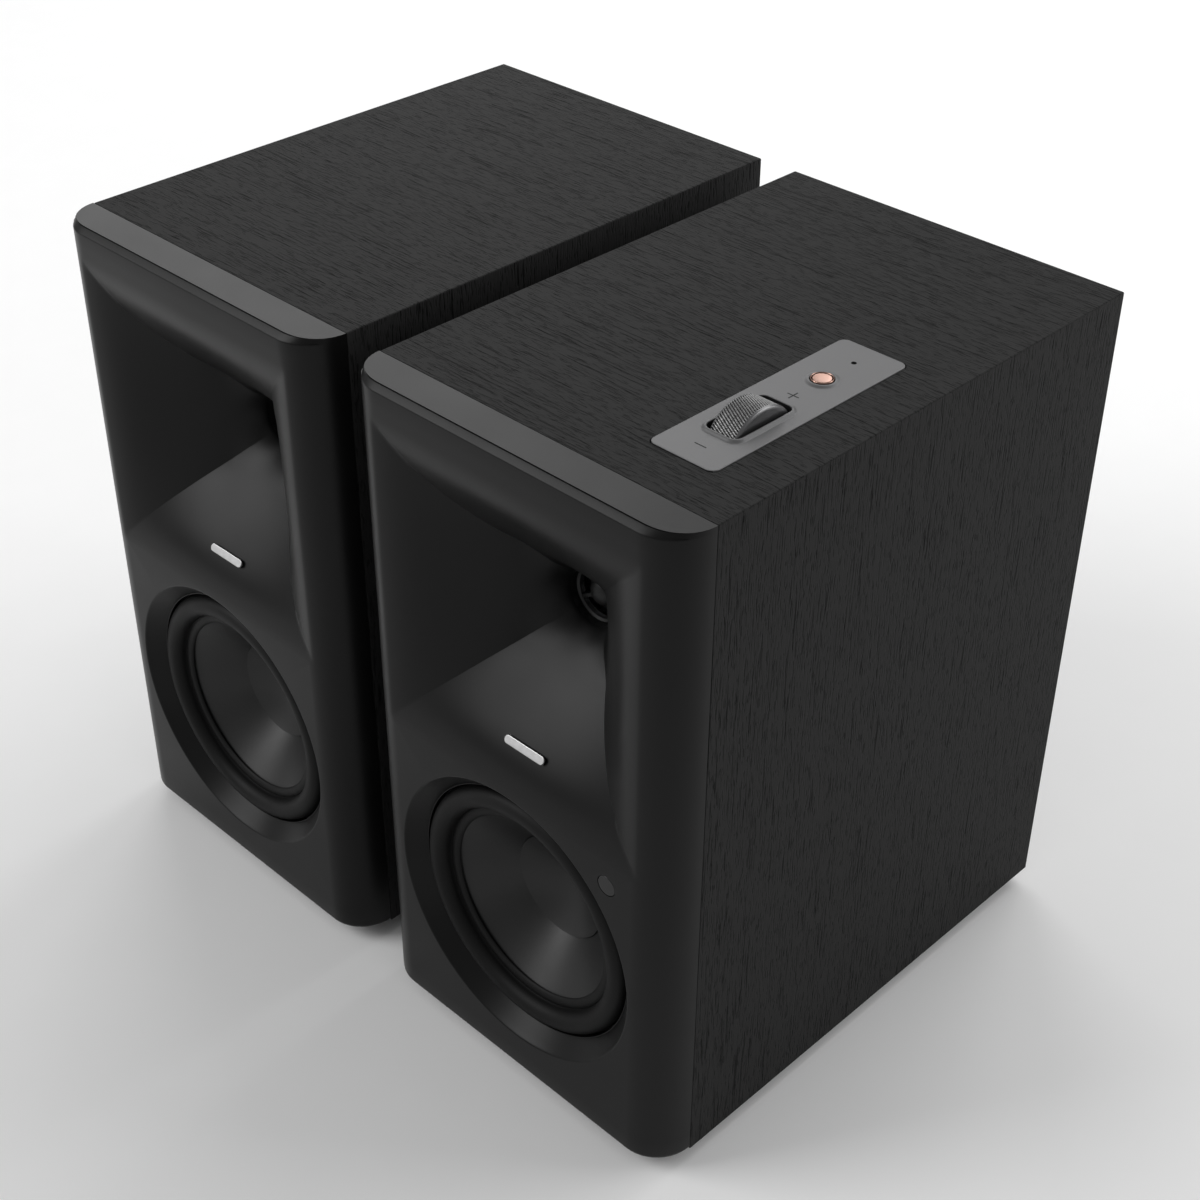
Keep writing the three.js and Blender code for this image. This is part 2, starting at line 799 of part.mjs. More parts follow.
function groundNut() {
  const [x, z] = onPlate(sockets.ground);
  const y0 = plateOuterY + touchGap;
  return ring(postRadius + touchGap, nutRadius, y0, y0 + 6, small, x, z);
}

// A slide switch's knob: the part behind the plate is too wide to come out through the slot.
function slideKnob(place) {
  const [x, z] = onPlate(place);
  const left = x - place.travel / 2;
  const stem = block(
    about(left, knob.width / 2),
    [plateBackY - 3, plateOuterY + 1.5],
    about(z, knob.height / 2),
  );
  const keeper = block(
    about(left, knob.width / 2 + 2),
    [plateBackY - 3, plateBackY - moveGap],
    about(z, knob.height / 2 + 1),
  );
  return join(stem, keeper);
}

function slideSlot(place) {
  const [x, z] = onPlate(place);
  const half = knob.width / 2 + place.travel / 2 + moveGap;
  return block(about(x, half), [plateBackY - 1, plateOuterY + 1], about(z, knob.height / 2 + moveGap));
}

function backPlate(size, openings) {
  const outside = plate(
    size.width, size.height, size.corner, 0, plateMiddle(size), plateBackY, plateBackY + size.thickness,
  );
  return cut(outside, ...openings);
}

function ampPlateOpenings() {
  const past = [plateBackY - 1, plateOuterY + 1];
  const square = ({ width, height, ...place }) => {
    const [x, z] = onPlate(place);
    return block(about(x, width / 2 + touchGap), past, about(z, height / 2 + touchGap));
  };
  const round = (radius, [x, z]) => rod(radius + touchGap, ...past, small, x, z);
  const { mains, hdmi, optical, usb, link, ground, aux, subwoofer, inputs, level, channel } = sockets;
  return [
    ...[mains, hdmi, optical, usb].map(square),
    ...[link, aux, subwoofer].map((socket) => round(socket.radius, onPlate(socket))),
    ...inputPlaces().map((place) => round(inputs.radius, place)),
    round(postRadius, onPlate(ground)),
    slideSlot(level),
    slideSlot(channel),
  ];
}

const linkPlateOpening = () =>
  rod(
    sockets.link.radius + touchGap, plateBackY - 1, plateOuterY + 1, small, 0, plateMiddle(linkPlate),
  );

// The amplifier's board stands behind the plate's sockets, with its heat sink along the top edge.
function ampBoard() {
  const boardY = [panelY - 6, panelY - 4.4];
  const middle = plateMiddle(ampPlate);
  const halfWidth = ampPlate.width / 2 - ampPlate.border - 4;
  const halfHeight = ampPlate.height / 2 - ampPlate.border - 6;
  const board = block(about(0, halfWidth), boardY, about(middle, halfHeight));
  const sinkZ = middle + halfHeight - 22;
  const sink = block(about(0, halfWidth - 8), [boardY[0] - 20, boardY[0] + 0.5], about(sinkZ, 14));
  const grooves = [-3, -2, -1, 0, 1, 2, 3].map((i) =>
    block(about(i * 11, 3), [boardY[0] - 21, boardY[0] - 4], about(sinkZ, 15)),
  );
  return join(board, cut(sink, ...grooves));
}

function powerTransformer() {
  const floor = boardThickness + touchGap;
  const y = panelY - 70;
  const core = block(about(0, 27), about(y, 17), [floor + 2, floor + 44]);
  const winding = block(about(0, 17), about(y, 24), [floor + 9, floor + 37]);
  const base = block(about(0, 36), about(y, 17), [floor, floor + 2.5]);
  return join(core, winding, base);
}

// ---------------------------------------------------------------- materials

const finish = (color, roughness, metalness = 0) =>
  new THREE.MeshStandardMaterial({ color, roughness, metalness });

const wood = finish(0x303030, 0.75);
const moulding = finish(0x232323, 0.5);
const rubber = finish(0x1a1a1a, 0.65);
const paper = finish(0x222222, 0.7);
const cloth = finish(0x3a2c1c, 0.9);
const steel = finish(0x2a2a2c, 0.5, 0.6);
const bareSteel = finish(0x8c8c8c, 0.4, 0.9);
const ferrite = finish(0x1c1c1e, 0.7, 0.2);
const copper = finish(0xc98a6a, 0.3, 0.9);
const greyMetal = finish(0x6e6e6e, 0.45, 0.8);
const smokedLens = finish(0x3a3a3c, 0.25);
const blackPlastic = finish(0x151515, 0.45);
const circuit = finish(0x1d3b2a, 0.6);
const lightLens = finish(0x101010, 0.2);
const gold = finish(0xb08c4a, 0.3, 0.9);
const film = finish(0x9a9aa0, 0.35, 0.8);

// ---------------------------------------------------------------- assembly

function add(group, name, body, material) {
  const mesh = new THREE.Mesh(geometryOf(body), material);
  mesh.name = name;
  group.add(mesh);
}

// What both cabinets have.
function speaker(side, cabinetBody, backPlateSize, hasWindow) {
  const group = new THREE.Group();
  const pieces = {
    cabinet: [cabinetBody, wood],
    rear_panel: [rearPanel(backPlateSize), wood],
    baffle: [baffle(hasWindow), moulding],
    front_foot: [foot(footEndInset + footWidth / 2), rubber],
    rear_foot: [foot(cabinetDepth - footEndInset - footWidth / 2), rubber],
    port_tube: [port(), blackPlastic],
    woofer_frame: [wooferFrame(), steel],
    woofer_surround: [surround(), rubber],
    woofer_cone: [cone(), paper],
    woofer_dust_cap: [dustCap(), paper],
    woofer_spider: [spider(), cloth],
    woofer_voice_coil: [voiceCoil(), copper],
    woofer_top_plate: [topPlate(), bareSteel],
    woofer_magnet: [magnet(), ferrite],
    woofer_yoke: [yoke(), bareSteel],
    tweeter_phase_plug: [phasePlug(), greyMetal],
    tweeter_diaphragm: [diaphragm(), film],
    tweeter_motor: [tweeterMotor(), steel],
  };
  for (const [name, [body, material]] of Object.entries(pieces)) {
    add(group, `${side}_${name}`, body, material);
  }
  return group;
}

const right = speaker("right", cut(cabinet(), controlOpening()), ampPlate, true);
const left = speaker("left", cabinet(), linkPlate, false);

const controls = {
  control_plate: [topControlPlate(), greyMetal],
  volume_wheel: [volumeWheel(), greyMetal],
  wheel_bracket: [wheelBracket(), blackPlastic],
  source_button: [sourceButton(), copper],
  control_board: [controlBoard(), circuit],
  status_light: [lightPipe(), lightLens],
  sensor_window: [sensorWindow(), smokedLens],
};
const { mains, hdmi, optical, usb, link, aux, subwoofer, inputs, level, channel } = sockets;
const amplifier = {
  amp_plate: [backPlate(ampPlate, ampPlateOpenings()), blackPlastic],
  amp_board: [ampBoard(), circuit],
  power_transformer: [powerTransformer(), steel],
  mains_inlet: [boxSocket(mains, 2, [[0, 3, 2, 4], [-6.5, -3, 2, 4], [6.5, -3, 2, 4]]), blackPlastic],
  hdmi_socket: [boxSocket(hdmi, 1, [[0, 0.6, 11, 1.2]]), bareSteel],
  optical_socket: [boxSocket(optical, 1, []), blackPlastic],
  usb_socket: [boxSocket(usb, 1, [[0, 0, 5.6, 3.2]]), bareSteel],
  input_jacks: [barrelSocket(inputPlaces(), inputs.radius, 1.7, 8, 7), gold],
  aux_jack: [barrelSocket([onPlate(aux)], aux.radius, 1.8, 1, 6), blackPlastic],
  subwoofer_jack: [barrelSocket([onPlate(subwoofer)], subwoofer.radius, 1.7, 8, 7), gold],
  ground_post: [groundPost(), bareSteel],
  ground_nut: [groundNut(), gold],
  channel_switch: [slideKnob(channel), blackPlastic],
  level_switch: [slideKnob(level), blackPlastic],
  right_link_socket: [linkSocket(...onPlate(link)), blackPlastic],
};
for (const [name, [body, material]] of Object.entries({ ...controls, ...amplifier })) {
  add(right, name, body, material);
}
add(left, "link_plate", backPlate(linkPlate, [linkPlateOpening()]), blackPlastic);
add(left, "left_link_socket", linkSocket(0, plateMiddle(linkPlate)), blackPlastic);

const pair = new THREE.Group();
const middleY = (cabinetDepth + rearReach - baffleDepth) / 2;
right.position.set(speakerSpacing / 2, -middleY, footHeight);
left.position.set(-speakerSpacing / 2, -middleY, footHeight);
pair.add(right, left);

export default pair;
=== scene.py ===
import bmesh
import bpy
import json
import math
from mathutils import Matrix, Vector


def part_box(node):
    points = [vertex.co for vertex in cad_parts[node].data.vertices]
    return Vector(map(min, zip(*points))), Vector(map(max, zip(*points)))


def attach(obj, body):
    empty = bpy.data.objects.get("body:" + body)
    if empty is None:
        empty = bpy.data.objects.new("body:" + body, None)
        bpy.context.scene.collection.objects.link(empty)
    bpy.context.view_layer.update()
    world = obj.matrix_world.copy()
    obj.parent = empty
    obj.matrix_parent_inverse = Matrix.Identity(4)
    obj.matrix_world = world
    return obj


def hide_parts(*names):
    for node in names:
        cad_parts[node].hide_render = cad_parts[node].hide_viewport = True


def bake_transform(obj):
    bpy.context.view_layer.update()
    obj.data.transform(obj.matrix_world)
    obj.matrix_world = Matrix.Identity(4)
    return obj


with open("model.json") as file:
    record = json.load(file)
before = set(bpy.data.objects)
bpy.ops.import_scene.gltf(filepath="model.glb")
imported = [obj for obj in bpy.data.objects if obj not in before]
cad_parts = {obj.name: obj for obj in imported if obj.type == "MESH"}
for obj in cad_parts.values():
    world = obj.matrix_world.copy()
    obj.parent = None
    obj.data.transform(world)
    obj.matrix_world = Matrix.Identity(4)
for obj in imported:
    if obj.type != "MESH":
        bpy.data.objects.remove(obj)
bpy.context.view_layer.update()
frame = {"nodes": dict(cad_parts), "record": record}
sides = ("right", "left")


camera = {"place": (0.5165, -0.5145, 0.6449), "azimuth": 44.5, "elevation": 35.05, "roll": 0.31,
          "lens": 59.55}
studio = {"floor": 14, "world": 0.34, "lampSize": 1.4, "lamps": {
    "frontLeft": ((-1.5, -1.7, 1.58), 34), "backRight": ((1.6, 1.8, 1.2), 22),
    "backLeft": ((-1.75, 1.35, 1.5), 15), "topBack": ((0, 1.6, 1.8), 16)}}


def addCamera():
    data = bpy.data.cameras.new("camera")
    data.sensor_width = 36
    data.lens = camera["lens"]
    view = bpy.data.objects.new("camera", data)
    bpy.context.scene.collection.objects.link(view)
    azimuth, elevation = math.radians(camera["azimuth"]), math.radians(camera["elevation"])
    back = Vector((math.sin(azimuth) * math.cos(elevation), -math.cos(azimuth) * math.cos(elevation),
                   math.sin(elevation)))
    right = Vector((math.cos(azimuth), math.sin(azimuth), 0))
    turn = Matrix((right, back.cross(right), back)).transposed() @ Matrix.Rotation(
        math.radians(camera["roll"]), 3, "Z")
    view.matrix_world = Matrix.Translation(camera["place"]) @ turn.to_4x4()
    bpy.context.scene.camera = view


def addLight(name, place, aim, size, watts):
    data = bpy.data.lights.new(name, "AREA")
    data.size = size
    data.energy = watts
    lamp = bpy.data.objects.new(name, data)
    lamp.location = place
    lamp.rotation_euler = (Vector(place) - Vector(aim)).to_track_quat("Z", "Y").to_euler()
    bpy.context.scene.collection.objects.link(lamp)


class Wire:
    # one socket's value, with the maths that is used on it

    def __init__(self, finish, socket):
        self.finish, self.socket = finish, socket

    def maths(self, operation, first, second):
        return self.finish.node("ShaderNodeMath", {"operation": operation}, [first, second])

    def __add__(self, other):
        return self.maths("ADD", self, other)

    def __sub__(self, other):
        return self.maths("SUBTRACT", self, other)

    def __rsub__(self, other):
        return self.maths("SUBTRACT", other, self)

    def __mul__(self, other):
        return self.maths("MULTIPLY", self, other)

    __radd__ = __add__
    __rmul__ = __mul__


class Finish:
    # a material whose nodes come from one method

    def __init__(self, name, **constants):
        self.material = bpy.data.materials.new(name)
        self.material.use_nodes = True
        self.tree = self.material.node_tree
        self.shader = self.tree.nodes["Principled BSDF"]
        for key, value in constants.items():
            self.shader.inputs[key.replace("_", " ")].default_value = value

    def node(self, kind, settings=None, values=(), out=0):
        made = self.tree.nodes.new(kind)
        for key, value in (settings or {}).items():
            if key == "stops":
                ramp = made.color_ramp
                while len(ramp.elements) < len(value):
                    ramp.elements.new(0.5)
                for element, (position, level) in zip(ramp.elements, value):
                    element.position = position
                    element.color = (level, level, level, 1)
            else:
                setattr(made, key, value)
        named = values.items() if isinstance(values, dict) else enumerate(values)
        for key, value in named:
            if isinstance(value, Wire):
                self.tree.links.new(value.socket, made.inputs[key])
            else:
                made.inputs[key].default_value = value
        return Wire(self, made.outputs[out])

    def place(self):
        return self.node("ShaderNodeTexCoord", out="Object")

    def noise(self, vector, scale, detail=2.0, roughness=0.5):
        return self.node("ShaderNodeTexNoise", None,
                         {"Vector": vector, "Scale": scale, "Detail": detail, "Roughness": roughness})

    def ramp(self, value, *stops):
        return self.node("ShaderNodeValToRGB", {"stops": stops}, [value])

    def mix(self, share, first, second):
        return self.node("ShaderNodeMix", {"data_type": "RGBA"}, {0: share, 6: first, 7: second}, out=2)

    def bump(self, height, distance, strength=1.0):
        return self.node("ShaderNodeBump", None,
                         {"Height": height, "Distance": distance, "Strength": strength})

    def reachFrom(self, centre, across):
        # how far a point is from a line through the centre along an axis
        shift = tuple(-c for c in centre)
        flat = tuple(0 if i == across else 1 for i in range(3))
        local = self.node("ShaderNodeMapping", None, {"Vector": self.place(), "Location": shift})
        plane = self.node("ShaderNodeVectorMath", {"operation": "MULTIPLY"}, [local, flat])
        return self.node("ShaderNodeVectorMath", {"operation": "LENGTH"}, [plane], out="Value")

    def wear(self, **links):
        for key, wire in links.items():
            self.tree.links.new(wire.socket, self.shader.inputs[key.replace("_", " ")])
        return self.material


def grey(level, tint=(1, 1, 1)):
    return tuple(level * share for share in tint) + (1,)


ash = {"light": 0.027, "dark": 0.0115, "pore": 0.0008, "wander": 0.002}


def ashFinish(name, along):
    made = Finish(name, Specular_IOR_Level=0.1)
    wander = made.noise(made.place(), 15, 1) * ash["wander"]
    bent = made.node("ShaderNodeVectorMath", {"operation": "ADD"}, [made.place(), wander])

    def scaled(lengthwise, across):
        scale = tuple(lengthwise if i == along else across for i in range(3))
        return made.node("ShaderNodeMapping", None, {"Vector": bent, "Scale": scale})

    fibre = made.noise(scaled(90, 2200), 1, 3, 0.65)
    longPores = made.ramp(made.noise(scaled(48, 1050), 1, 1.5), (0.34, 1), (0.42, 0))
    shortPores = made.ramp(made.noise(scaled(190, 1500), 1, 1), (0.36, 1), (0.44, 0))
    bands = made.ramp(made.noise(scaled(13, 110), 1, 2), (0.36, 0.25), (0.58, 1))
    dark = longPores * bands + shortPores * 0.7
    body = made.mix(fibre, grey(ash["dark"]), grey(ash["light"]))
    colour = made.mix(dark * 0.85, body, grey(ash["pore"]))
    normal = made.bump(fibre * 0.3 - dark, 0.00028, 0.8)
    return made.wear(Base_Color=colour, Roughness=0.58 + 0.14 * fibre, Normal=normal)


def mouldedFinish(name, level, roughness, specular, grain=2600, tint=(1, 1, 1)):
    made = Finish(name, Specular_IOR_Level=specular)
    fine = made.noise(made.place(), grain, 2, 0.6)
    cloud = made.noise(made.place(), 35, 3)
    colour = made.mix(cloud, grey(level * 0.88, tint), grey(level * 1.12, tint))
    normal = made.bump(fine, 0.00004, 0.35)
    return made.wear(Base_Color=colour, Roughness=roughness - 0.05 + 0.1 * cloud, Normal=normal)


def rubberFinish(name, level=0.006, roughness=0.55):
    made = Finish(name, Specular_IOR_Level=0.16)
    fine = made.noise(made.place(), 1800, 3, 0.65)
    cloud = made.noise(made.place(), 60, 3)
    colour = made.mix(cloud, grey(level * 0.8), grey(level * 1.25))
    normal = made.bump(fine, 0.00006, 0.4)
    return made.wear(Base_Color=colour, Roughness=roughness + 0.12 * cloud, Normal=normal)


def pulpFinish(name, level=0.0055, roughness=0.34):
    made = Finish(name, Specular_IOR_Level=0.4)
    felt = made.noise(made.place(), 900, 5, 0.7)
    cloud = made.noise(made.place(), 40, 3)
    colour = made.mix(felt, grey(level * 0.75), grey(level * 1.3))
    normal = made.bump(felt, 0.00008, 0.35)
    return made.wear(Base_Color=colour, Roughness=roughness + 0.15 * cloud, Normal=normal)


def blastedFinish(name, colour, roughness=0.5, metallic=0.85):
    made = Finish(name, Metallic=metallic)
    fine = made.noise(made.place(), 3200, 3, 0.7)
    cloud = made.noise(made.place(), 55, 2)
    low = tuple(c * 0.9 for c in colour) + (1,)
    high = tuple(c * 1.08 for c in colour) + (1,)
    shade = made.mix(fine * 0.6 + cloud * 0.4, low, high)
    normal = made.bump(fine, 0.00003, 0.4)
    return made.wear(Base_Color=shade, Roughness=roughness - 0.06 + 0.12 * fine, Normal=normal)


def turnedFinish(name, colour, centre, across, roughness=0.3):
    # metal with the fine rings of a lathe; across is the axis they turn about
    made = Finish(name, Metallic=0.95)
    reach = made.reachFrom(centre, across)
    rings = made.noise(made.node("ShaderNodeCombineXYZ", None, [reach * 9000, 0.0, 0.0]), 1, 2)
    low = tuple(c * 0.8 for c in colour) + (1,)
    high = tuple(min(1, c * 1.2) for c in colour) + (1,)
    return made.wear(Base_Color=made.mix(rings, low, high), Roughness=roughness - 0.08 + 0.18 * rings,
                     Normal=made.bump(rings, 0.00002, 0.5))


def knurledFinish(name, centre, crest, depth):
    # metal with painted shade in the valleys between its ridges, darker the deeper they sink; it turns about
    # a line along X
    made = Finish(name, Metallic=0.9)
    sunk = (crest - made.reachFrom(centre, 0)) * (1 / depth)
    shade = made.ramp(sunk + made.noise(made.place(), 900, 2) * 0.2, (0.12, 1), (0.75, 0))
    colour = made.mix(shade, grey(wheel["shadedValley"]), grey(wheel["crest"]))
    return made.wear(Base_Color=colour, Roughness=0.5 - 0.16 * shade)


def platedFinish(name, colour, roughness=0.3, metallic=1.0):
    made = Finish(name, Metallic=metallic)
    haze = made.noise(made.place(), 400, 3)
    low = tuple(c * 0.86 for c in colour) + (1,)
    high = tuple(min(1, c * 1.06) for c in colour) + (1,)
    return made.wear(Base_Color=made.mix(haze, low, high), Roughness=roughness - 0.07 + 0.14 * haze)


def clothFinish(name, colour):
    made = Finish(name, Specular_IOR_Level=0.2)
    threads = made.node("ShaderNodeTexChecker", None, {"Vector": made.place(), "Scale": 2200}, out=1)
    shade = made.mix(threads, tuple(c * 0.7 for c in colour) + (1,), tuple(colour) + (1,))
    return made.wear(Base_Color=shade, Roughness=0.8 + 0.1 * threads, Normal=made.bump(threads, 0.0001, 0.5))


finishes = {
    "ashAcross": ashFinish("ashAcross", 0),
    "ashUpright": ashFinish("ashUpright", 2),
    "baffleBlack": mouldedFinish("baffleBlack", 0.0045, 0.36, 0.165),
    "rubberBlack": rubberFinish("rubberBlack"),
    "rollRubber": rubberFinish("rollRubber", 0.0038, 0.48),
    "conePulp": pulpFinish("conePulp"),
    "capPulp": pulpFinish("capPulp", 0.0052, 0.34),
    "grainedPlastic": mouldedFinish("grainedPlastic", 0.007, 0.5, 0.25, 1500),
    "plugPlastic": mouldedFinish("plugPlastic", 0.006, 0.42, 0.25),
    "blastedGrey": blastedFinish("blastedGrey", (0.13, 0.13, 0.132), 0.5, 0.5),
    "wheelGrey": blastedFinish("wheelGrey", (0.17, 0.17, 0.173), 0.34, 0.9),
    # black for printed marks and a jack insulator, also used as painted shade in the control plate's holes
    # and the button's groove
    "markBlack": mouldedFinish("markBlack", 0.008, 0.6, 0.2),
    "smokedLens": mouldedFinish("smokedLens", 0.016, 0.3, 0.25),
    "lightLens": mouldedFinish("lightLens", 0.002, 0.15, 0.3),
    "gunPaint": mouldedFinish("gunPaint", 0.008, 0.45, 0.3, 1200),
    "screwSteel": platedFinish("screwSteel", (0.09, 0.09, 0.093), 0.36),
    "bareSteel": platedFinish("bareSteel", (0.55, 0.55, 0.56), 0.32),
    "ferrite": mouldedFinish("ferrite", 0.03, 0.65, 0.4, 900),
    "goldPlate": platedFinish("goldPlate", (0.9, 0.66, 0.3), 0.22),
    "foil": platedFinish("foil", (0.7, 0.7, 0.72), 0.28),
    "windings": platedFinish("windings", (0.7, 0.33, 0.16), 0.35),
    "spiderCloth": clothFinish("spiderCloth", (0.09, 0.05, 0.02)),
    "solderMask": mouldedFinish("solderMask", 0.06, 0.4, 0.5, 700, (0.2, 1, 0.45)),
    "signalRed": mouldedFinish("signalRed", 0.4, 0.4, 0.4, tint=(1, 0.05, 0.04)),
    "signalWhite": mouldedFinish("signalWhite", 0.55, 0.4, 0.4),
    "badgeSilver": platedFinish("badgeSilver", (0.5, 0.5, 0.5), 0.4),
}
print("finishes:", len(finishes))


def seat(side):
    # from a cabinet's own millimetres, measured from its front seam and its underside, to the frame
    low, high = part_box(f"{side}_cabinet")
    corner = Vector(((low.x + high.x) / 2, low.y - 0.0003, low.z))
    return Matrix.Translation(corner) @ Matrix.Scale(0.001, 4)


def localBox(side, node):
    # a node's lowest and highest corners in its cabinet's own millimetres
    inverse = seat(side).inverted()
    low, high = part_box(node)
    return inverse @ low, inverse @ high


def controlBox(node="control_plate"):
    return localBox("right", node)


def vertsOf(geometry):
    return [item for item in geometry if isinstance(item, bmesh.types.BMVert)]


def edgesOf(geometry):
    return [item for item in geometry if isinstance(item, bmesh.types.BMEdge)]


def turned(bm, verts, angle, axis):
    bmesh.ops.rotate(bm, cent=(0, 0, 0), matrix=Matrix.Rotation(angle, 3, axis), verts=verts)


def settle(obj, sharp=None):
    # turns a piece's modifiers into its mesh, and marks the edges that turn by more than an angle
    graph = bpy.context.evaluated_depsgraph_get()
    mesh = bpy.data.meshes.new_from_object(obj.evaluated_get(graph), depsgraph=graph)
    old = obj.data
    obj.modifiers.clear()
    obj.data = mesh
    bpy.data.meshes.remove(old)
    if sharp:
        bm = bmesh.new()
        bm.from_mesh(mesh)
        markSharp(bm, sharp)
        bm.to_mesh(mesh)
        bm.free()


def markSharp(bm, sharp):
    bm.normal_update()
    for face in bm.faces:
        face.smooth = True
    for edge in bm.edges:
        edge.smooth = len(edge.link_faces) != 2 or edge.calc_face_angle(0) < math.radians(sharp)


def piece(bm, name, finish, side, body=None, replaces=(), sharp=35, modifiers=(),
          recalculate=True):
    # finishes a bmesh that was made in a cabinet's millimetres
    if recalculate:
        bmesh.ops.recalc_face_normals(bm, faces=bm.faces)
    markSharp(bm, sharp)
    bmesh.ops.transform(bm, matrix=seat(side), verts=bm.verts)
    mesh = bpy.data.meshes.new(name)
    bm.to_mesh(mesh)
    bm.free()
    obj = bpy.data.objects.new(name, mesh)
    bpy.context.scene.collection.objects.link(obj)
    for one in (finish if isinstance(finish, tuple) else (finish,)):
        mesh.materials.append(finishes[one])
    for kind, settings in modifiers:
        modifier = obj.modifiers.new(kind, kind)
        for key, value in settings.items():
            setattr(modifier, key, value)
    if modifiers:
        settle(obj, None if modifiers[-1][0] == "WEIGHTED_NORMAL" else sharp)
    if body:
        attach(obj, body)
    if replaces:
        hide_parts(*replaces)
    return obj


evenNormals = ("WEIGHTED_NORMAL", {"keep_sharp": True, "weight": 60})


def spun(bm, profile, x=0, z=0, steps=96, closed=False):
    # turns a [radius, y] profile about a line along Y
    points = [bm.verts.new((x + radius, y, z)) for radius, y in profile]
    ends = points[1:] + points[:1] if closed else points[1:]
    edges = [bm.edges.new(pair) for pair in zip(points, ends)]
    bmesh.ops.spin(bm, geom=points + edges, cent=(x, 0, z), axis=(0, 1, 0), angle=math.tau, steps=steps,
                   use_merge=True, use_duplicate=False)
    bmesh.ops.remove_doubles(bm, verts=bm.verts, dist=0.0005)


def arc(centre, radius, start, end, steps):
    # points on an arc in the [radius, y] plane, angles in degrees, squashed by a pair of radii
    wide, high = radius if isinstance(radius, tuple) else (radius, radius)
    turns = [math.radians(start + (end - start) * i / steps) for i in range(steps + 1)]
    return [(centre[0] + wide * math.cos(t), centre[1] + high * math.sin(t)) for t in turns]


def roundedLoop(bm, width, height, radius, x, z, segments=6):
    # a rounded rectangle of edges standing in the XZ plane
    corners = [bm.verts.new((x + sx * width / 2, 0, z + sz * height / 2))
               for sx, sz in ((1, 1), (-1, 1), (-1, -1), (1, -1))]
    edges = [bm.edges.new(pair) for pair in zip(corners, corners[1:] + corners[:1])]
    before = set(bm.edges) - set(edges)
    bmesh.ops.bevel(bm, geom=corners, offset=radius, offset_type="OFFSET", affect="VERTICES",
                    segments=segments, profile=0.5, material=-1)
    return [edge for edge in bm.edges if edge not in before]


def circleLoop(bm, radius, x, z, segments=32):
    made = bmesh.ops.create_circle(bm, segments=segments, radius=radius)["verts"]
    turned(bm, made, math.pi / 2, "X")
    bmesh.ops.translate(bm, vec=(x, 0, z), verts=made)
    return list({edge for vert in made for edge in vert.link_edges})


def punchedPlate(loops, front, back, edge=0.4, segments=2, both=False):
    # a plate in the XZ plane between two y, its outline and holes given by functions that draw loops
    bm = bmesh.new()
    for draw, args in loops:
        draw(bm, *args)
    bmesh.ops.translate(bm, vec=(0, front, 0), verts=bm.verts)
    bmesh.ops.triangle_fill(bm, use_beauty=True, use_dissolve=True, edges=bm.edges)
    faces = bmesh.ops.extrude_face_region(bm, geom=bm.faces[:])["geom"]
    moved = vertsOf(faces)
    bmesh.ops.translate(bm, vec=(0, back - front, 0), verts=moved)
    bmesh.ops.recalc_face_normals(bm, faces=bm.faces)
    rims = [e for e in bm.edges if len(e.link_faces) == 2 and e.calc_face_angle(0) > 1.2]
    ends = (front, back) if both else (front,)
    rims = [e for e in rims if any(all(abs(v.co.y - end) < 1e-4 for v in e.verts) for end in ends)]
    bmesh.ops.bevel(bm, geom=rims, offset=edge, affect="EDGES", segments=segments, profile=0.5, material=-1,
                    clamp_overlap=True)
    return bm


cabinet = {"wall": 15, "edge": 0.6, "rim": 0.4}
pocket = {"gap": 0.3, "corner": 3.2, "ledge": 4}


def slabCutter(width, length, radius, x, y, z0, z1):
    bm = bmesh.new()
    roundedLoop(bm, width, length, radius, x, -y, 6)
    bmesh.ops.triangle_fill(bm, use_beauty=True, use_dissolve=True, edges=bm.edges)
    turned(bm, bm.verts, math.pi / 2, "X")
    bmesh.ops.translate(bm, vec=(0, 0, z0), verts=bm.verts)
    made = bmesh.ops.extrude_face_region(bm, geom=bm.faces[:])["geom"]
    bmesh.ops.translate(bm, vec=(0, 0, z1 - z0), verts=vertsOf(made))
    bmesh.ops.recalc_face_normals(bm, faces=bm.faces)
    bmesh.ops.transform(bm, matrix=seat("right"), verts=bm.verts)
    mesh = bpy.data.meshes.new("cutter")
    bm.to_mesh(mesh)
    bm.free()
    cutter = bpy.data.objects.new("cutter", mesh)
    bpy.context.scene.collection.objects.link(cutter)
    return cutter


def cutAway(obj, cutters, sharp):
    for cutter in cutters:
        modifier = obj.modifiers.new("cut", "BOOLEAN")
        modifier.operation, modifier.object, modifier.solver = "DIFFERENCE", cutter, "EXACT"
    settle(obj, sharp)
    for cutter in cutters:
        bpy.data.meshes.remove(cutter.data)


def makeCabinet(side):
    low, high = localBox(side, f"{side}_cabinet")
    size, middle, wall = high - low, (high + low) / 2, 2 * cabinet["wall"]
    bm = punchedPlate([(roundedLoop, (size.x, size.z, cabinet["edge"], middle.x, middle.z, 3)),
                       (roundedLoop, (size.x - wall, size.z - wall, 0.5, middle.x, middle.z, 1))],
                      low.y, high.y, cabinet["rim"], 2, both=True)
    bm.normal_update()
    for face in bm.faces:
        face.material_index = 0 if abs(face.normal.z) > 0.7 else 1
    obj = piece(bm, f"{side}Cabinet", ("ashAcross", "ashUpright"), side, sharp=30)
    if side == "right":
        plateLow, plateHigh = controlBox()
        width, length = plateHigh.x - plateLow.x, plateHigh.y - plateLow.y
        x, y = (plateHigh.x + plateLow.x) / 2, (plateHigh.y + plateLow.y) / 2
        gap = 2 * pocket["gap"]
        ledge = 2 * pocket["ledge"]
        cutAway(obj, [
            slabCutter(width + gap, length + gap, pocket["corner"], x, y, plateLow.z - pocket["gap"],
                       size.z + 5),
            slabCutter(width - ledge, length - ledge, 1, x, y, size.z - cabinet["wall"] - 5, size.z)], 30)
    obj.modifiers.new("even", "WEIGHTED_NORMAL").keep_sharp = True
    settle(obj)
    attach(obj, f"{side}_speaker")
    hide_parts(f"{side}_cabinet")


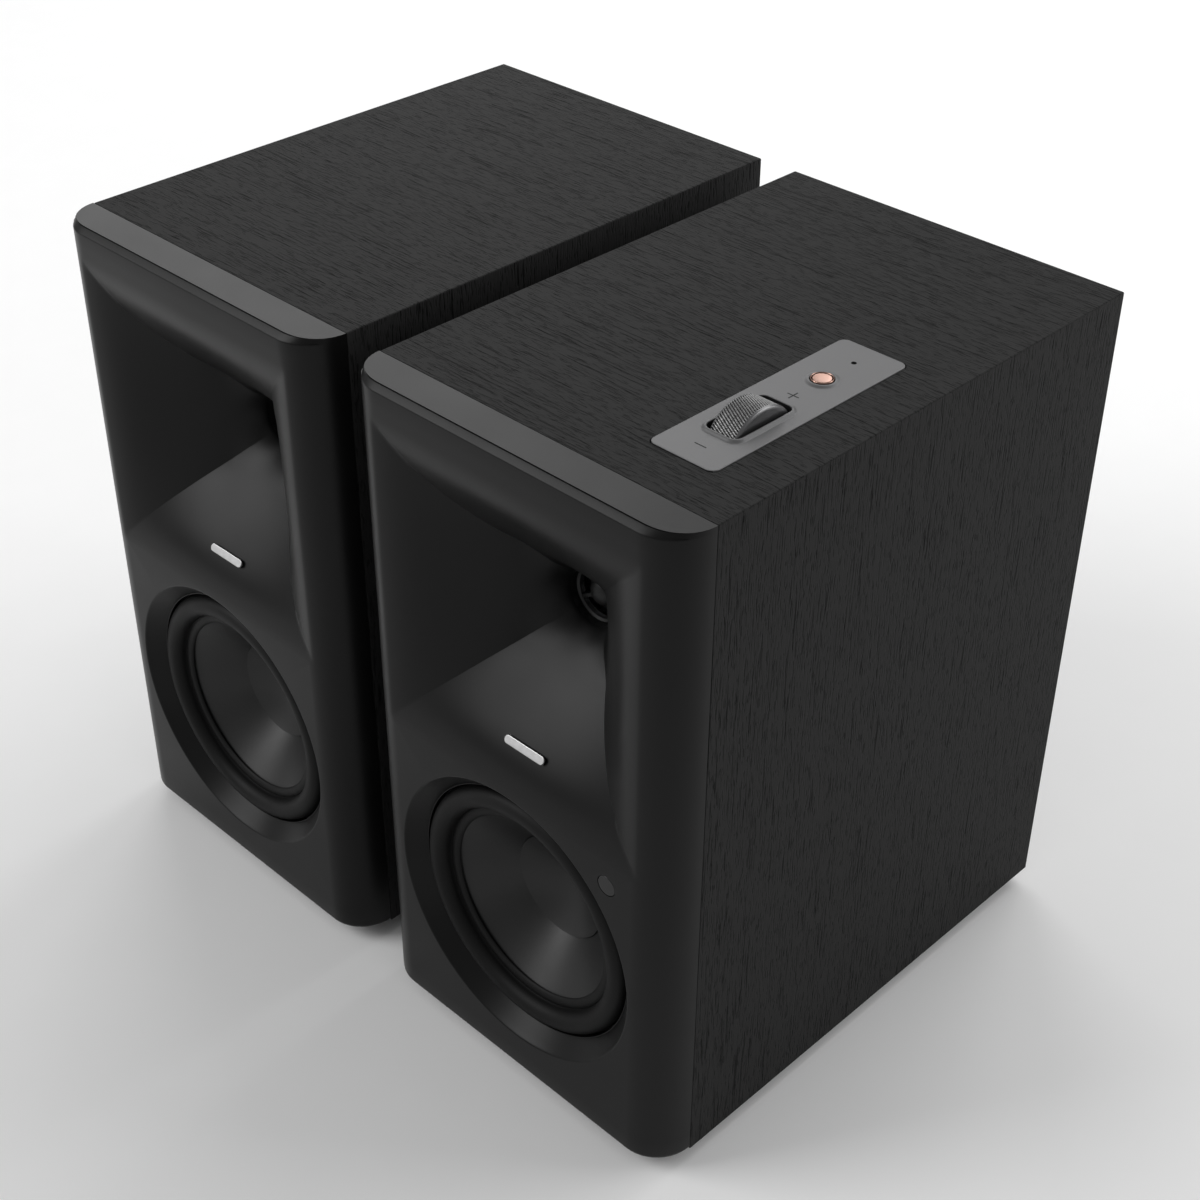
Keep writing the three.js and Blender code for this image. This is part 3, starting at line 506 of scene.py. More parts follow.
foot = {"edge": 1.2}


def makeFeet(side):
    for end in ("front", "rear"):
        low, high = localBox(side, f"{side}_{end}_foot")
        width, depth = high.x - low.x, high.y - low.y
        bm = punchedPlate([(roundedLoop, (width, depth, depth / 2 - 0.2, 0, 0, 10))], 0, high.z - low.z,
                          foot["edge"], 3)
        turned(bm, bm.verts, math.pi / 2, "X")
        bmesh.ops.translate(bm, vec=(0, (low.y + high.y) / 2, low.z), verts=bm.verts)
        piece(bm, f"{side}{end.title()}Foot", "rubberBlack", side, f"{side}_speaker",
              [f"{side}_{end}_foot"], modifiers=(evenNormals,))


baffle = {"corner": 18, "thickness": 2, "topChamfer": 2.5, "bottomRound": 2.6, "grooveWidth": 0.4,
          "grooveDepth": 0.5, "fade": 2.4}
horn = {"mouth": 70, "top": 12, "depth": 45.5, "throat": 11.7, "square": 22, "bulge": 3}
dish = {"radius": 64.3, "hole": 57, "depth": 7.5, "edge": 1.0}


def hornDepth(half):
    share = (horn["mouth"] - half) / (horn["mouth"] - horn["throat"])
    return 0 if share <= 0 else horn["depth"] * (1 - max(0, 1 - share ** 1.8) ** 0.9)


def softest(first, second, blend=0.12):
    # the greater of two values, rounded where they cross
    return (first + second + math.sqrt((first - second) ** 2 + blend ** 2)) / 2


def baffleColumns(flat, depth, levels):
    # points of the plan from the left seam round to the right one, each with its outward direction
    turns = [math.radians(t) for t in (3, 6, 9, 12.5, 16, 20, 25, 31, 38, 46, 54, 62, 70, 77, 83.5, 90)]
    swept = []
    for turn in turns:
        out = Vector((depth * math.sin(turn), -baffle["corner"] * math.cos(turn))).normalized()
        swept.append((flat + baffle["corner"] * math.sin(turn), -depth * math.cos(turn), out.x, out.y))
    left = [(-x, y, -outX, outY) for x, y, outX, outY in reversed(swept)]
    return left + [(flat * level, -depth, 0, -1) for level in levels] + swept


def ringInwards(bm, edges, rays, centre, rings):
    # draws a hole's edge inwards through rings, each a function from a ray to a point
    for ring in rings:
        made = bmesh.ops.extrude_edge_only(bm, edges=edges)["geom"]
        edges = edgesOf(made)
        for vert in vertsOf(made):
            key = (round(vert.co.x, 3), round(vert.co.z, 3))
            ray = rays[key]
            vert.co = ring(*ray)
            vert.co.x += centre[0]
            vert.co.z += centre[1]
            rays[(round(vert.co.x, 3), round(vert.co.z, 3))] = ray
    return edges


def hornRing(half, depth):
    # a square that turns into a circle towards the throat
    share = min(1, max(0, (half - horn["throat"]) / (horn["square"] - horn["throat"])))
    share = share * share * (3 - 2 * share)
    y = hornDepth(half) - depth
    along = (half - horn["throat"]) / (64.5 - horn["throat"])
    bulge = horn["bulge"] * math.sin(math.pi * along) ** 2 / half

    def point(u, w):
        reach = (share + (1 - share) / math.hypot(u, w)) * (1 + bulge * (1 - min(abs(u), abs(w)) ** 2))
        return Vector((half * u * reach, y, half * w * reach))
    return point


def circleRing(radius, y):
    def point(u, w):
        reach = radius / math.hypot(u, w)
        return Vector((u * reach, y, w * reach))
    return point


def makeBaffle(side):
    low, high = localBox(side, f"{side}_baffle")
    surroundLow, surroundHigh = localBox(side, f"{side}_woofer_surround")
    depth, tall, half = -low.y, high.z - low.z, high.x
    flat = half - baffle["corner"]
    hornZ = tall - horn["top"] - horn["mouth"]
    wooferZ = (surroundLow.z + surroundHigh.z) / 2
    fractions = [-1, -0.985, -0.96] + [-0.92 + 1.84 * i / 27 for i in range(28)] + [0.96, 0.985, 1]
    levels = [math.tan(f * math.pi / 4) for f in fractions]
    columns = baffleColumns(flat, depth, levels)

    chamfer, bottomRound = baffle["topChamfer"], baffle["bottomRound"]
    groove, gap = baffle["grooveDepth"], baffle["grooveWidth"]
    turns = [math.pi / 2 * i / 5 for i in range(5, 0, -1)]
    bottom = [(bottomRound - bottomRound * math.sin(t), bottomRound * (1 - math.cos(t))) for t in turns]
    top = [(tall - chamfer + 0.25, 0.1), (tall - chamfer + 0.55, 0.35),
           (tall - chamfer * 0.5, chamfer * 0.47), (tall - 0.3, chamfer - 0.45),
           (tall - 0.08, chamfer - 0.15)]
    top += [(tall - groove, chamfer), (tall - groove, chamfer + gap), (tall, chamfer + gap + 0.02)]
    lower = [(wooferZ + flat * level, 0) for level in levels]
    upper = [(hornZ + flat * level, 0) for level in levels]
    between = [(z, 0) for z in (lower[-1][0] + 1.2, lower[-1][0] + 2.4, upper[0][0] - 1.2)]
    above = [(hornZ + flat + rise, 0) for rise in (1.3, 2.6, 4, 5.5, 9)]
    below = [(bottomRound, 0), ((bottomRound + lower[0][0]) / 2, 0)]
    rows = bottom + below + lower + between + upper + above + [(tall - chamfer - 0.25, 0)] + top

    bm = bmesh.new()
    across, up = len(columns) - 1, len(rows) - 1
    bmesh.ops.create_grid(bm, x_segments=across, y_segments=up, size=1)
    edgeColumns = (len(columns) - len(levels)) // 2
    dishRow = len(bottom) + len(below)
    blocks = {"dish": dishRow, "horn": dishRow + len(lower) + len(between)}
    place = {}
    for vert in bm.verts:
        i = round((vert.co.x + 1) / 2 * across)
        j = round((vert.co.y + 1) / 2 * up)
        place[vert] = (i, j)
    last = len(levels) - 1

    def inBlock(face, start):
        spots = [place[v] for v in face.verts]
        return (all(edgeColumns <= i <= edgeColumns + last for i, _ in spots)
                and all(start <= j <= start + last for _, j in spots))
    gone = [f for f in bm.faces if any(inBlock(f, start) for start in blocks.values())]
    for vert, (i, j) in place.items():
        x, y, outX, outY = columns[i]
        z, inset = rows[j]
        fade = (-outY) ** baffle["fade"] if z > tall - chamfer else 1  # the chamfer dies out at the corners
        if z == tall - groove:
            z = tall - groove * fade
        x, y = x - inset * fade * outX, y - inset * fade * outY
        reach = max(abs(x), abs(z - hornZ))
        if reach < horn["mouth"] + 1 and z > lower[-1][0]:
            y = softest(y, hornDepth(reach) - depth)
        vert.co = (x, y, z)
    loops, rays = {}, {}
    for name, start in blocks.items():
        ring = {(i, j) for i in (edgeColumns, edgeColumns + last) for j in range(start, start + last + 1)}
        ring |= {(i, j) for j in (start, start + last) for i in range(edgeColumns, edgeColumns + last + 1)}
        loops[name] = [e for e in bm.edges if all(place[v] in ring for v in e.verts)
                       and len({f in gone for f in e.link_faces}) == 2]
        centre = {"dish": wooferZ, "horn": hornZ}[name]
        rays[name] = {(round(v.co.x, 3), round(v.co.z, 3)): (v.co.x / flat, (v.co.z - centre) / flat)
                      for v in place if place[v] in ring}
    bmesh.ops.delete(bm, geom=gone, context="FACES")
    edge, slope = dish["edge"], dish["depth"] / (dish["radius"] - dish["hole"])
    dishRings = [circleRing(dish["radius"] + 0.1, -depth), circleRing(dish["radius"], -depth)]
    for share in (0.3, 0.6, 1):
        dishRings.append(circleRing(dish["radius"] - edge * share, edge * slope * share ** 2 * 0.75 - depth))
    start = dish["radius"] - edge
    for share in (0.25, 0.5, 0.75, 0.94):
        radius = start + (dish["hole"] - start) * share
        rise = edge * slope * 0.75 + (dish["depth"] - edge * slope * 0.75) * share
        dishRings.append(circleRing(radius, rise - depth))
    dishRings += [circleRing(dish["hole"] + 0.1, dish["depth"] - 0.35 - depth),
                  circleRing(dish["hole"], dish["depth"] + 0.1 - depth),
                  circleRing(dish["hole"], dish["depth"] + 2.9 - depth)]
    steps = 34
    run = flat - horn["throat"]
    halves = [horn["throat"] + run * (1 - i / steps) ** 1.25 for i in range(1, steps + 1)]
    hornRings = [hornRing(value, depth) for value in halves]
    hornRings.append(circleRing(horn["throat"] - 0.02, horn["depth"] - depth + 0.2))
    ringInwards(bm, loops["dish"], rays["dish"], (0, wooferZ), dishRings)
    ringInwards(bm, loops["horn"], rays["horn"], (0, hornZ), hornRings)

    for level in (rows[-1][0], rows[0][0]):
        rim = [e for e in bm.edges if e.is_boundary and all(abs(v.co.z - level) < 1e-3 for v in e.verts)
               and any(v.co.y < -0.01 for v in e.verts)]
        made = bmesh.ops.extrude_edge_only(bm, edges=rim)["geom"]
        for vert in vertsOf(made):
            vert.co.y = 0
    bmesh.ops.remove_doubles(bm, verts=bm.verts, dist=0.002)
    bmesh.ops.recalc_face_normals(bm, faces=bm.faces)
    bm.faces.ensure_lookup_table()

    def fromLip(face):
        middle = face.calc_center_median()
        return abs(middle.z - tall + 6) + abs(middle.x)
    if min(bm.faces, key=fromLip).normal.y > 0:
        bmesh.ops.reverse_faces(bm, faces=bm.faces)
    obj = piece(bm, f"{side}Baffle", "baffleBlack", side, sharp=32, recalculate=False, modifiers=(
        ("SOLIDIFY", {"thickness": baffle["thickness"] / 1000, "offset": -1, "use_rim": True}),))
    if side == "right":
        lens = bmesh.new()
        windowLow, windowHigh = controlBox("sensor_window")
        middle = (windowLow + windowHigh) / 2
        radius = (windowHigh.x - windowLow.x) / 2 + 0.2
        spun(lens, [(0, -depth - 2), (radius, -depth - 2), (radius, 2 - depth), (0, 2 - depth)],
             middle.x, middle.z, 48)
        cutter = piece(lens, "cutter", "baffleBlack", side)
        cutAway(obj, [cutter], 32)
    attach(obj, f"{side}_speaker")
    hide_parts(f"{side}_baffle")
    makeBadge(side, depth, hornZ)


badge = {"width": 21, "height": 3.4, "x": 3, "drop": 48.5, "proud": 0.5}


def makeBadge(side, depth, hornZ):
    # a plain bar on the horn's lower lip
    half = badge["drop"]
    slope = (hornDepth(half + 0.5) - hornDepth(half - 0.5))
    outline = (badge["width"], badge["height"], badge["height"] / 2 - 0.05, 0, 0, 8)
    bm = punchedPlate([(roundedLoop, outline)], -badge["proud"], 0.3, 0.25)
    tilt = Matrix.Rotation(math.atan(slope), 3, "X")
    bmesh.ops.rotate(bm, cent=(0, 0, 0), matrix=tilt, verts=bm.verts)
    bmesh.ops.translate(bm, vec=(badge["x"], hornDepth(half) - depth, hornZ - half), verts=bm.verts)
    piece(bm, f"{side}Badge", "badgeSilver", side, f"{side}_speaker",
          modifiers=(evenNormals,))


roll = {"thickness": 0.9}
cone = {"flange": 43, "coil": 13.4, "thickness": 0.9, "capDepth": 9.2}


def makeWoofer(side):
    low, high = localBox(side, f"{side}_woofer_surround")
    z = (low.z + high.z) / 2
    coneLow, coneHigh = localBox(side, f"{side}_woofer_cone")
    capLow, capHigh = localBox(side, f"{side}_woofer_dust_cap")
    spiderLow, spiderHigh = localBox(side, f"{side}_woofer_spider")
    outer, foot, crest = high.x, high.y - 1.1, low.y
    flangeEdge = cone["flange"]
    inner = coneHigh.x - 0.7
    middle, wide = (outer + inner) / 2, (outer - inner) / 2
    thick = roll["thickness"]
    bm = bmesh.new()
    outside = arc((middle, foot), (wide - 0.35, foot - crest), 0, -180, 22)
    spun(bm, [(outer - 0.05, foot + 0.9), (outer, foot + 0.1), (outer - 0.25, foot - 0.15)] + outside
         + [(inner + 0.1, foot + 0.45), (inner - 0.3, foot + 0.15), (flangeEdge - 0.2, foot + 0.2),
            (flangeEdge - 1.5, foot + 1.0), (flangeEdge - 1.6, foot + 1.5), (flangeEdge, foot + 1.15),
            (inner + 0.9, foot + 1.15)]
         + arc((middle, foot), (wide - thick, foot - crest - thick), -180, 0, 16)[1:-1]
         + [(outer - 1.2, foot + 1.05)], 0, z, 128, closed=True)
    obj = piece(bm, f"{side}Surround", "rollRubber", side, replaces=[f"{side}_woofer_surround"],
                sharp=50)
    stretchWithCone(obj, side, z, outer - 0.8, inner - 0.5)

    bm = bmesh.new()
    edgeY, neckY = coneLow.y, coneHigh.y
    slope = (neckY - edgeY - 1.3) / (flangeEdge - cone["coil"])

    def depthAt(radius):
        share = (flangeEdge - radius) / (flangeEdge - cone["coil"])
        return edgeY + 0.35 + slope * (flangeEdge - radius) - 0.5 * math.sin(math.pi * share)

    radii = [flangeEdge - (flangeEdge - cone["coil"]) * i / 16 for i in range(17)]
    face = [(radius, depthAt(radius)) for radius in radii]
    rear = [(radius, y + cone["thickness"] * 1.2) for radius, y in reversed(face)]
    spun(bm, [(coneHigh.x, edgeY), (flangeEdge + 0.4, edgeY)] + face + rear + [(coneHigh.x, edgeY + 0.9)],
         0, z, 128, closed=True)
    piece(bm, f"{side}Cone", "conePulp", side, f"{side}_cone_assembly", [f"{side}_woofer_cone"],
          sharp=40)

    bm = bmesh.new()
    radius, rimY = capHigh.x, capLow.y
    sag = cone["capDepth"]
    bowl = [(radius * i / 14, rimY + 0.25 + sag * (1 - (i / 14) ** 1.6)) for i in range(15)]
    rim = [(radius + 0.25, rimY + 0.08), (radius + 0.5, rimY + 0.35), (radius + 0.45, rimY + 0.75)]
    spun(bm, bowl + rim + [(r, y + 0.55) for r, y in reversed(bowl)], 0, z, 96)
    piece(bm, f"{side}DustCap", "capPulp", side, f"{side}_cone_assembly", [f"{side}_woofer_dust_cap"],
          sharp=50)

    bm = bmesh.new()
    inside, outside = cone["coil"], spiderHigh.x
    waves = 7
    points = []
    for i in range(waves * 6 + 1):
        share = i / (waves * 6)
        wave = math.sin(share * waves * math.tau) * 1.0 * min(1, 8 * share, 8 * (1 - share))
        points.append((inside + (outside - 5 - inside) * share, (spiderLow.y + spiderHigh.y) / 2 + wave))
    points.append((outside, points[-1][1]))
    back = [(r, y + 0.4) for r, y in reversed(points)]
    spun(bm, points + back, 0, z, 64, closed=True)
    obj = piece(bm, f"{side}Spider", "spiderCloth", side, replaces=[f"{side}_woofer_spider"])
    stretchWithCone(obj, side, z, outside - 5, inside)


def stretchWithCone(obj, side, z, fixedRadius, movingRadius):
    # bakes a ring's placement into its mesh; it works out how far each point lies between frame and cone,
    # but moves none of them by it
    centre = seat(side) @ Vector((0, 0, z))
    across = Vector((0.001, 0, 0))
    centre + across * fixedRadius
    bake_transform(obj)
    for vert in obj.data.vertices:
        reach = math.hypot(vert.co.x - centre.x, vert.co.z - centre.z) * 1000
        share = min(1, max(0, (fixedRadius - reach) / (fixedRadius - movingRadius)))
        share * share * (3 - 2 * share)


plug = {"bullet": 5.5, "ring": 1.9, "ribs": 3}


def makePlug(side):
    low, high = localBox(side, f"{side}_tweeter_phase_plug")
    z, outer = (low.z + high.z) / 2, high.x
    bm = bmesh.new()
    nose = arc((0, low.y + 3), (plug["bullet"], 3), -90, 0, 10)
    spun(bm, nose + [(plug["bullet"], high.y), (0, high.y)], 0, z, 48)
    inner = outer - plug["ring"]
    spun(bm, [(inner, high.y), (inner, low.y + 1.6), (outer - 0.9, low.y + 1.0), (outer, low.y + 1.4),
              (outer, high.y)], 0, z, 64, closed=True)
    for i in range(plug["ribs"]):
        made = bmesh.ops.create_cube(bm, size=1)["verts"]
        bmesh.ops.scale(bm, vec=(1.3, high.y - low.y - 1.5, outer - plug["bullet"]), verts=made)
        middle = (0, (high.y + low.y + 1.5) / 2, (outer + plug["bullet"]) / 2 - 0.8)
        bmesh.ops.translate(bm, vec=middle, verts=made)
        turned(bm, made, math.tau * i / 3, "Y")
        bmesh.ops.translate(bm, vec=(0, 0, z), verts=made)
    piece(bm, f"{side}PhasePlug", "plugPlastic", side, f"{side}_speaker", [f"{side}_tweeter_phase_plug"],
          sharp=40)


plate = {"corner": 3, "edge": 0.35, "rimWidth": 2.2, "rimHeight": 1.0, "slotCorner": 3.2, "moatWidth": 2.2,
         "moatHeight": 0.7, "slotLength": 31.1, "bracketWall": 2.4}
marks = {"length": 5.2, "width": 0.5, "minusY": 32.3, "plusY": 80.4}
# the darker of the knurl's two colours is painted shade for its valleys
wheel = {"ridges": 100, "ridge": 0.6, "edge": 1.2, "slant": 0.5, "gap": 1.2, "crest": 0.3, "shadedValley": 0.012}
button = {"face": 3.5, "groove": 0.5, "grooveDepth": 1.5, "lowered": 0.5}


def ringStack(bm, edges, steps, centre):
    # extrudes a lying loop through [scale-out distance, z] steps, moving each point along its outward way
    for distance, z in steps:
        made = bmesh.ops.extrude_edge_only(bm, edges=edges)["geom"]
        edges = edgesOf(made)
        for vert in vertsOf(made):
            base = outlinePoint(vert.co, centre)
            vert.co = (vert.co.x + base.x * distance, vert.co.y + base.y * distance, z)
    return edges


def outlinePoint(point, centre):
    # the outward direction of a rounded rectangle at one of its points
    middle, half, radius = centre
    local = Vector((point.x - middle[0], point.y - middle[1]))
    core = Vector((max(-half[0] + radius, min(half[0] - radius, local.x)),
                   max(-half[1] + radius, min(half[1] - radius, local.y))))
    away = local - core
    return away.normalized() if away.length > 1e-5 else Vector((0, 0))


def lyingLoop(bm, width, length, radius, x, y, z, segments=8):
    before = set(bm.verts)
    edges = roundedLoop(bm, width, length, radius, 0, 0, segments)
    verts = [v for v in bm.verts if v not in before]
    turned(bm, verts, math.pi / 2, "X")
    bmesh.ops.translate(bm, vec=(x, y, z), verts=verts)
    return edges


def makeControlPlate():
    low, high = controlBox()
    wheelLow, wheelHigh = controlBox("volume_wheel")
    pressLow, pressHigh = controlBox("source_button")
    lightLow, lightHigh = controlBox("status_light")
    bracketLow, bracketHigh = controlBox("wheel_bracket")
    x, y = (low.x + high.x) / 2, (low.y + high.y) / 2
    width, length = high.x - low.x, high.y - low.y
    top = high.z - 1.0
    wheelY = (wheelLow.y + wheelHigh.y) / 2
    pressY, lightY = (pressLow.y + pressHigh.y) / 2, (lightLow.y + lightHigh.y) / 2
    slotWide, slotLong = bracketHigh.x - bracketLow.x - 2 * plate["bracketWall"], plate["slotLength"]
    bm = bmesh.new()
    rim, moat = plate["rimWidth"], plate["moatWidth"]
    outer = lyingLoop(bm, width - 2 * plate["edge"], length - 2 * plate["edge"], plate["corner"], x, y, top)
    slot = lyingLoop(bm, slotWide + 2 * rim, slotLong + 2 * rim, plate["slotCorner"] + rim, x, wheelY, top,
                     10)
    holeRadius = (pressHigh.x - pressLow.x) / 2 + 0.35
    reach = holeRadius + moat
    pressRing = lyingLoop(bm, 2 * reach, 2 * reach, reach - 0.01, x, pressY, top, 12)
    lightRadius = (lightHigh.x - lightLow.x) / 2 + 0.25
    lightRing = lyingLoop(bm, 2 * lightRadius, 2 * lightRadius, lightRadius - 0.005, x, lightY, top, 6)
    loops = outer + slot + pressRing + lightRing
    bmesh.ops.triangle_fill(bm, use_beauty=True, use_dissolve=True, edges=loops)

    def down(loop, steps, middle, half, radius):
        return ringStack(bm, loop, steps, (middle, half, radius))
    bend = [(-math.cos(math.pi * i / 8) * 0.5 + 0.5) for i in range(1, 9)]  # the soft rise of each rim
    slotHalf = (slotWide / 2 + rim, slotLong / 2 + rim)
    rimSteps = [(-rim * 0.8 / 8, top + plate["rimHeight"] * b) for b in bend]
    rimTop = top + plate["rimHeight"]
    rimSteps += [(-rim * 0.12, rimTop - 0.06), (-rim * 0.08, rimTop - 0.3), (0, low.z)]
    slotFloor = down(slot, rimSteps, (x, wheelY), slotHalf, plate["slotCorner"] + rim)
    moatSteps = [(-moat * 0.8 / 8, top + plate["moatHeight"] * b) for b in bend]
    moatTop = top + plate["moatHeight"]
    moatSteps += [(-moat * 0.12, moatTop - 0.05), (-moat * 0.08, moatTop - 0.25), (0, low.z)]
    pressFloor = down(pressRing, moatSteps, (x, pressY), (reach, reach), reach - 0.01)
    lightFloor = down(lightRing, [(0, low.z)], (x, lightY), (lightRadius, lightRadius), lightRadius - 0.005)
    edge = plate["edge"]
    half = (width / 2, length / 2)
    outerSteps = [(edge * 0.5, top - edge * 0.15), (edge * 0.35, top - edge * 0.5),
                  (edge * 0.15, top - edge), (0, low.z)]
    outerFloor = down(outer, outerSteps, (x, y), half, plate["corner"] + edge)
    bmesh.ops.triangle_fill(bm, use_beauty=True, use_dissolve=True,
                            edges=outerFloor + slotFloor + pressFloor + lightFloor)
    bm.normal_update()
    # painted shade: steep walls below the top, in the slot and the holes, take the black finish instead of
    # the grey metal
    for face in bm.faces:
        middle = face.calc_center_median()
        inside = abs(middle.x - x) < width / 2 - 1 and middle.z < top + plate["rimHeight"] - 0.4
        face.material_index = 1 if inside and abs(face.normal.z) < 0.3 else 0
    piece(bm, "controlPlate", ("blastedGrey", "markBlack"), "right", "right_speaker", ["control_plate"],
          sharp=40, modifiers=(evenNormals,))
    for name, spot, turns in (("minusMark", marks["minusY"], (0,)), ("plusMark", marks["plusY"], (0, 90))):
        bm = bmesh.new()
        for turn in turns:
            made = bmesh.ops.create_cube(bm, size=1)["verts"]
            bmesh.ops.scale(bm, vec=(marks["length"], marks["width"], 0.1), verts=made)
            turned(bm, made, math.radians(turn), "Z")
            bmesh.ops.translate(bm, vec=(x, spot, top - 0.02 + turn * 0.0001), verts=made)
        piece(bm, name, "markBlack", "right", "right_speaker")
    bm = bmesh.new()
    radius = (lightHigh.x - lightLow.x) / 2
    spun(bm, arc((0, 0), (radius, 0.3), 90, 0, 6) + [(radius, -6), (0, -6)], steps=24)
    turned(bm, bm.verts, math.pi / 2, "X")
    bmesh.ops.translate(bm, vec=(x, lightY, top - 0.9), verts=bm.verts)
    piece(bm, "statusLight", "lightLens", "right", "right_speaker", ["status_light"])


def makeButton():
    low, high = controlBox("source_button")
    x, y = (low.x + high.x) / 2, (low.y + high.y) / 2
    radius, top = (high.x - low.x) / 2, high.z - button["lowered"]
    face, groove, deep = button["face"], button["groove"], button["grooveDepth"]
    centre = seat("right") @ Vector((x, y, top))
    finishes["spunCopper"] = turnedFinish("spunCopper", (0.5, 0.31, 0.25), centre, 2, 0.32)
    bm = bmesh.new()
    spun(bm, [(0, top - 0.3), (face * 0.5, top - 0.28), (face * 0.85, top - 0.22), (face - 0.1, top - 0.16),
              (face, top - 0.25), (face, top - deep), (face + groove, top - deep),
              (face + groove, top - 0.15), (face + groove + 0.12, top), (radius - 0.12, top),
              (radius, top - 0.14), (radius, low.z + 2), (1.5, low.z + 2), (1.5, low.z), (0, low.z)],
         steps=64)
    # painted shade: the groove round the face takes the black finish
    for facet in bm.faces:
        middle = facet.calc_center_median()
        reach = math.hypot(middle.x, middle.z)
        facet.material_index = 1 if face - 0.05 < reach < face + groove + 0.05 else 0
    turned(bm, bm.verts, math.pi / 2, "X")
    bmesh.ops.translate(bm, vec=(x, y, 0), verts=bm.verts)
    piece(bm, "sourceButton", ("spunCopper", "markBlack"), "right", "button", ["source_button"],
          sharp=30)


def makeWheel():
    low, high = controlBox("volume_wheel")
    x, y, z = ((low[i] + high[i]) / 2 for i in range(3))
    radius = (high.z - low.z) / 2
    bracketLow, bracketHigh = controlBox("wheel_bracket")
    half = (bracketHigh.x - bracketLow.x) / 2 - plate["bracketWall"] - wheel["gap"]
    axle, edge, ridge = (high.x - low.x) / 2, wheel["edge"], wheel["ridge"]
    rows = [half - edge + 0.15] + [(half - edge) * (1 - i / 8) for i in range(17)] + [-half + edge - 0.15]
    across = [(0.0, axle), (2, axle), (2, half - 0.25), (3.2, half - 0.25), (5, half - 0.02),
              (radius * 0.62, half), (radius - edge - 0.8, half), (radius - edge * 0.55, half - edge * 0.18),
              (radius - edge * 0.2, half - edge * 0.55)]
    profile = across + [(radius - 0.05, along) for along in rows] + [(r, -a) for r, a in reversed(across)]
    steps = wheel["ridges"] * 6
    bm = bmesh.new()
    points = [bm.verts.new((along, 0, r)) for r, along in profile]
    edges = [bm.edges.new(pair) for pair in zip(points, points[1:])]
    bmesh.ops.spin(bm, geom=points + edges, cent=(0, 0, 0), axis=(1, 0, 0), angle=math.tau, steps=steps,
                   use_merge=True, use_duplicate=False)
    bmesh.ops.remove_doubles(bm, verts=bm.verts, dist=0.0005)
    pitch = math.tau * radius / wheel["ridges"]
    for vert in bm.verts:
        reach = math.hypot(vert.co.y, vert.co.z)
        if reach > radius - 0.1 and abs(vert.co.x) <= half - edge + 0.01:
            turn = math.atan2(vert.co.y, vert.co.z) * radius
            share = ((turn + wheel["slant"] * vert.co.x) / pitch) % 1
            sunk = radius - ridge * (1 - abs(2 * share - 1)) ** 1.5
            vert.co.y *= sunk / reach
            vert.co.z *= sunk / reach
    for face in bm.faces:
        middle = face.calc_center_median()
        knurled = abs(middle.x) < half - edge and math.hypot(middle.y, middle.z) > radius - ridge - 0.1
        face.material_index = 1 if knurled else 0
    bmesh.ops.translate(bm, vec=(x, y, z), verts=bm.verts)
    finishes["knurlShadedGrey"] = knurledFinish("knurlShadedGrey", seat("right") @ Vector((x, y, z)), radius / 1000,
                                          ridge / 1000)
    piece(bm, "volumeWheel", ("wheelGrey", "knurlShadedGrey"), "right", "wheel", ["volume_wheel"],
          sharp=50)


def makeWindow():
    low, high = controlBox("sensor_window")
    radius = (high.x - low.x) / 2
    bm = bmesh.new()
    spun(bm, [(0, low.y), (radius - 0.25, low.y), (radius, low.y + 0.2), (radius, high.y), (0, high.y)],
         (low.x + high.x) / 2, (low.z + high.z) / 2, 48)
    piece(bm, "sensorWindow", "smokedLens", "right", "right_speaker", ["sensor_window"],
          sharp=30)


port = {"flare": 8, "wall": 2.5, "lip": 1.2, "flange": 3}
backPlate = {"border": 8, "corner": 5, "edge": 0.5}
screw = {"head": 3.2, "height": 1.4, "recess": 0.9}


def makeRear(side, plateNode):
    low, high = localBox(side, f"{side}_rear_panel")
    tubeLow, tubeHigh = localBox(side, f"{side}_port_tube")
    portZ = (tubeLow.z + tubeHigh.z) / 2
    outer = tubeHigh.x
    bore = outer - port["wall"] - port["flare"]
    plateLow, plateHigh = localBox(side, plateNode)
    border = 2 * backPlate["border"]
    opening = (plateHigh.x - plateLow.x - border, plateHigh.z - plateLow.z - border, 2,
               (plateLow.x + plateHigh.x) / 2, (plateLow.z + plateHigh.z) / 2, 4)
    bm = punchedPlate([(roundedLoop, (high.x - low.x, high.z - low.z, 0.6, 0, (high.z + low.z) / 2, 2)),
                       (roundedLoop, opening),
                       (circleLoop, (bore + port["wall"] + 0.3, 0, portZ, 48))], high.y, low.y, 0.4, 2)
    piece(bm, f"{side}RearPanel", "ashUpright", side, f"{side}_speaker", [f"{side}_rear_panel"],
          modifiers=(evenNormals,))
    back, front, lip = tubeHigh.y, tubeLow.y, port["lip"]
    root = back - port["flange"]
    flare = arc((bore + port["flare"], back - port["flare"]), port["flare"], 90, 180, 12)
    bm = bmesh.new()
    spun(bm, flare + [(bore, front), (bore + port["wall"], front), (bore + port["wall"], root),
                      (outer, root)] + arc((outer - lip, back - lip), lip, 0, 90, 5), 0, portZ, 80,
         closed=True)
    piece(bm, f"{side}PortTube", "grainedPlastic", side, f"{side}_speaker", [f"{side}_port_tube"],
          sharp=50)
    inset = 5
    for x in (plateLow.x + inset, plateHigh.x - inset):
        for z in (plateLow.z + inset, plateHigh.z - inset):
            makeScrew(side, x, plateHigh.y, z)
    return plateLow, plateHigh


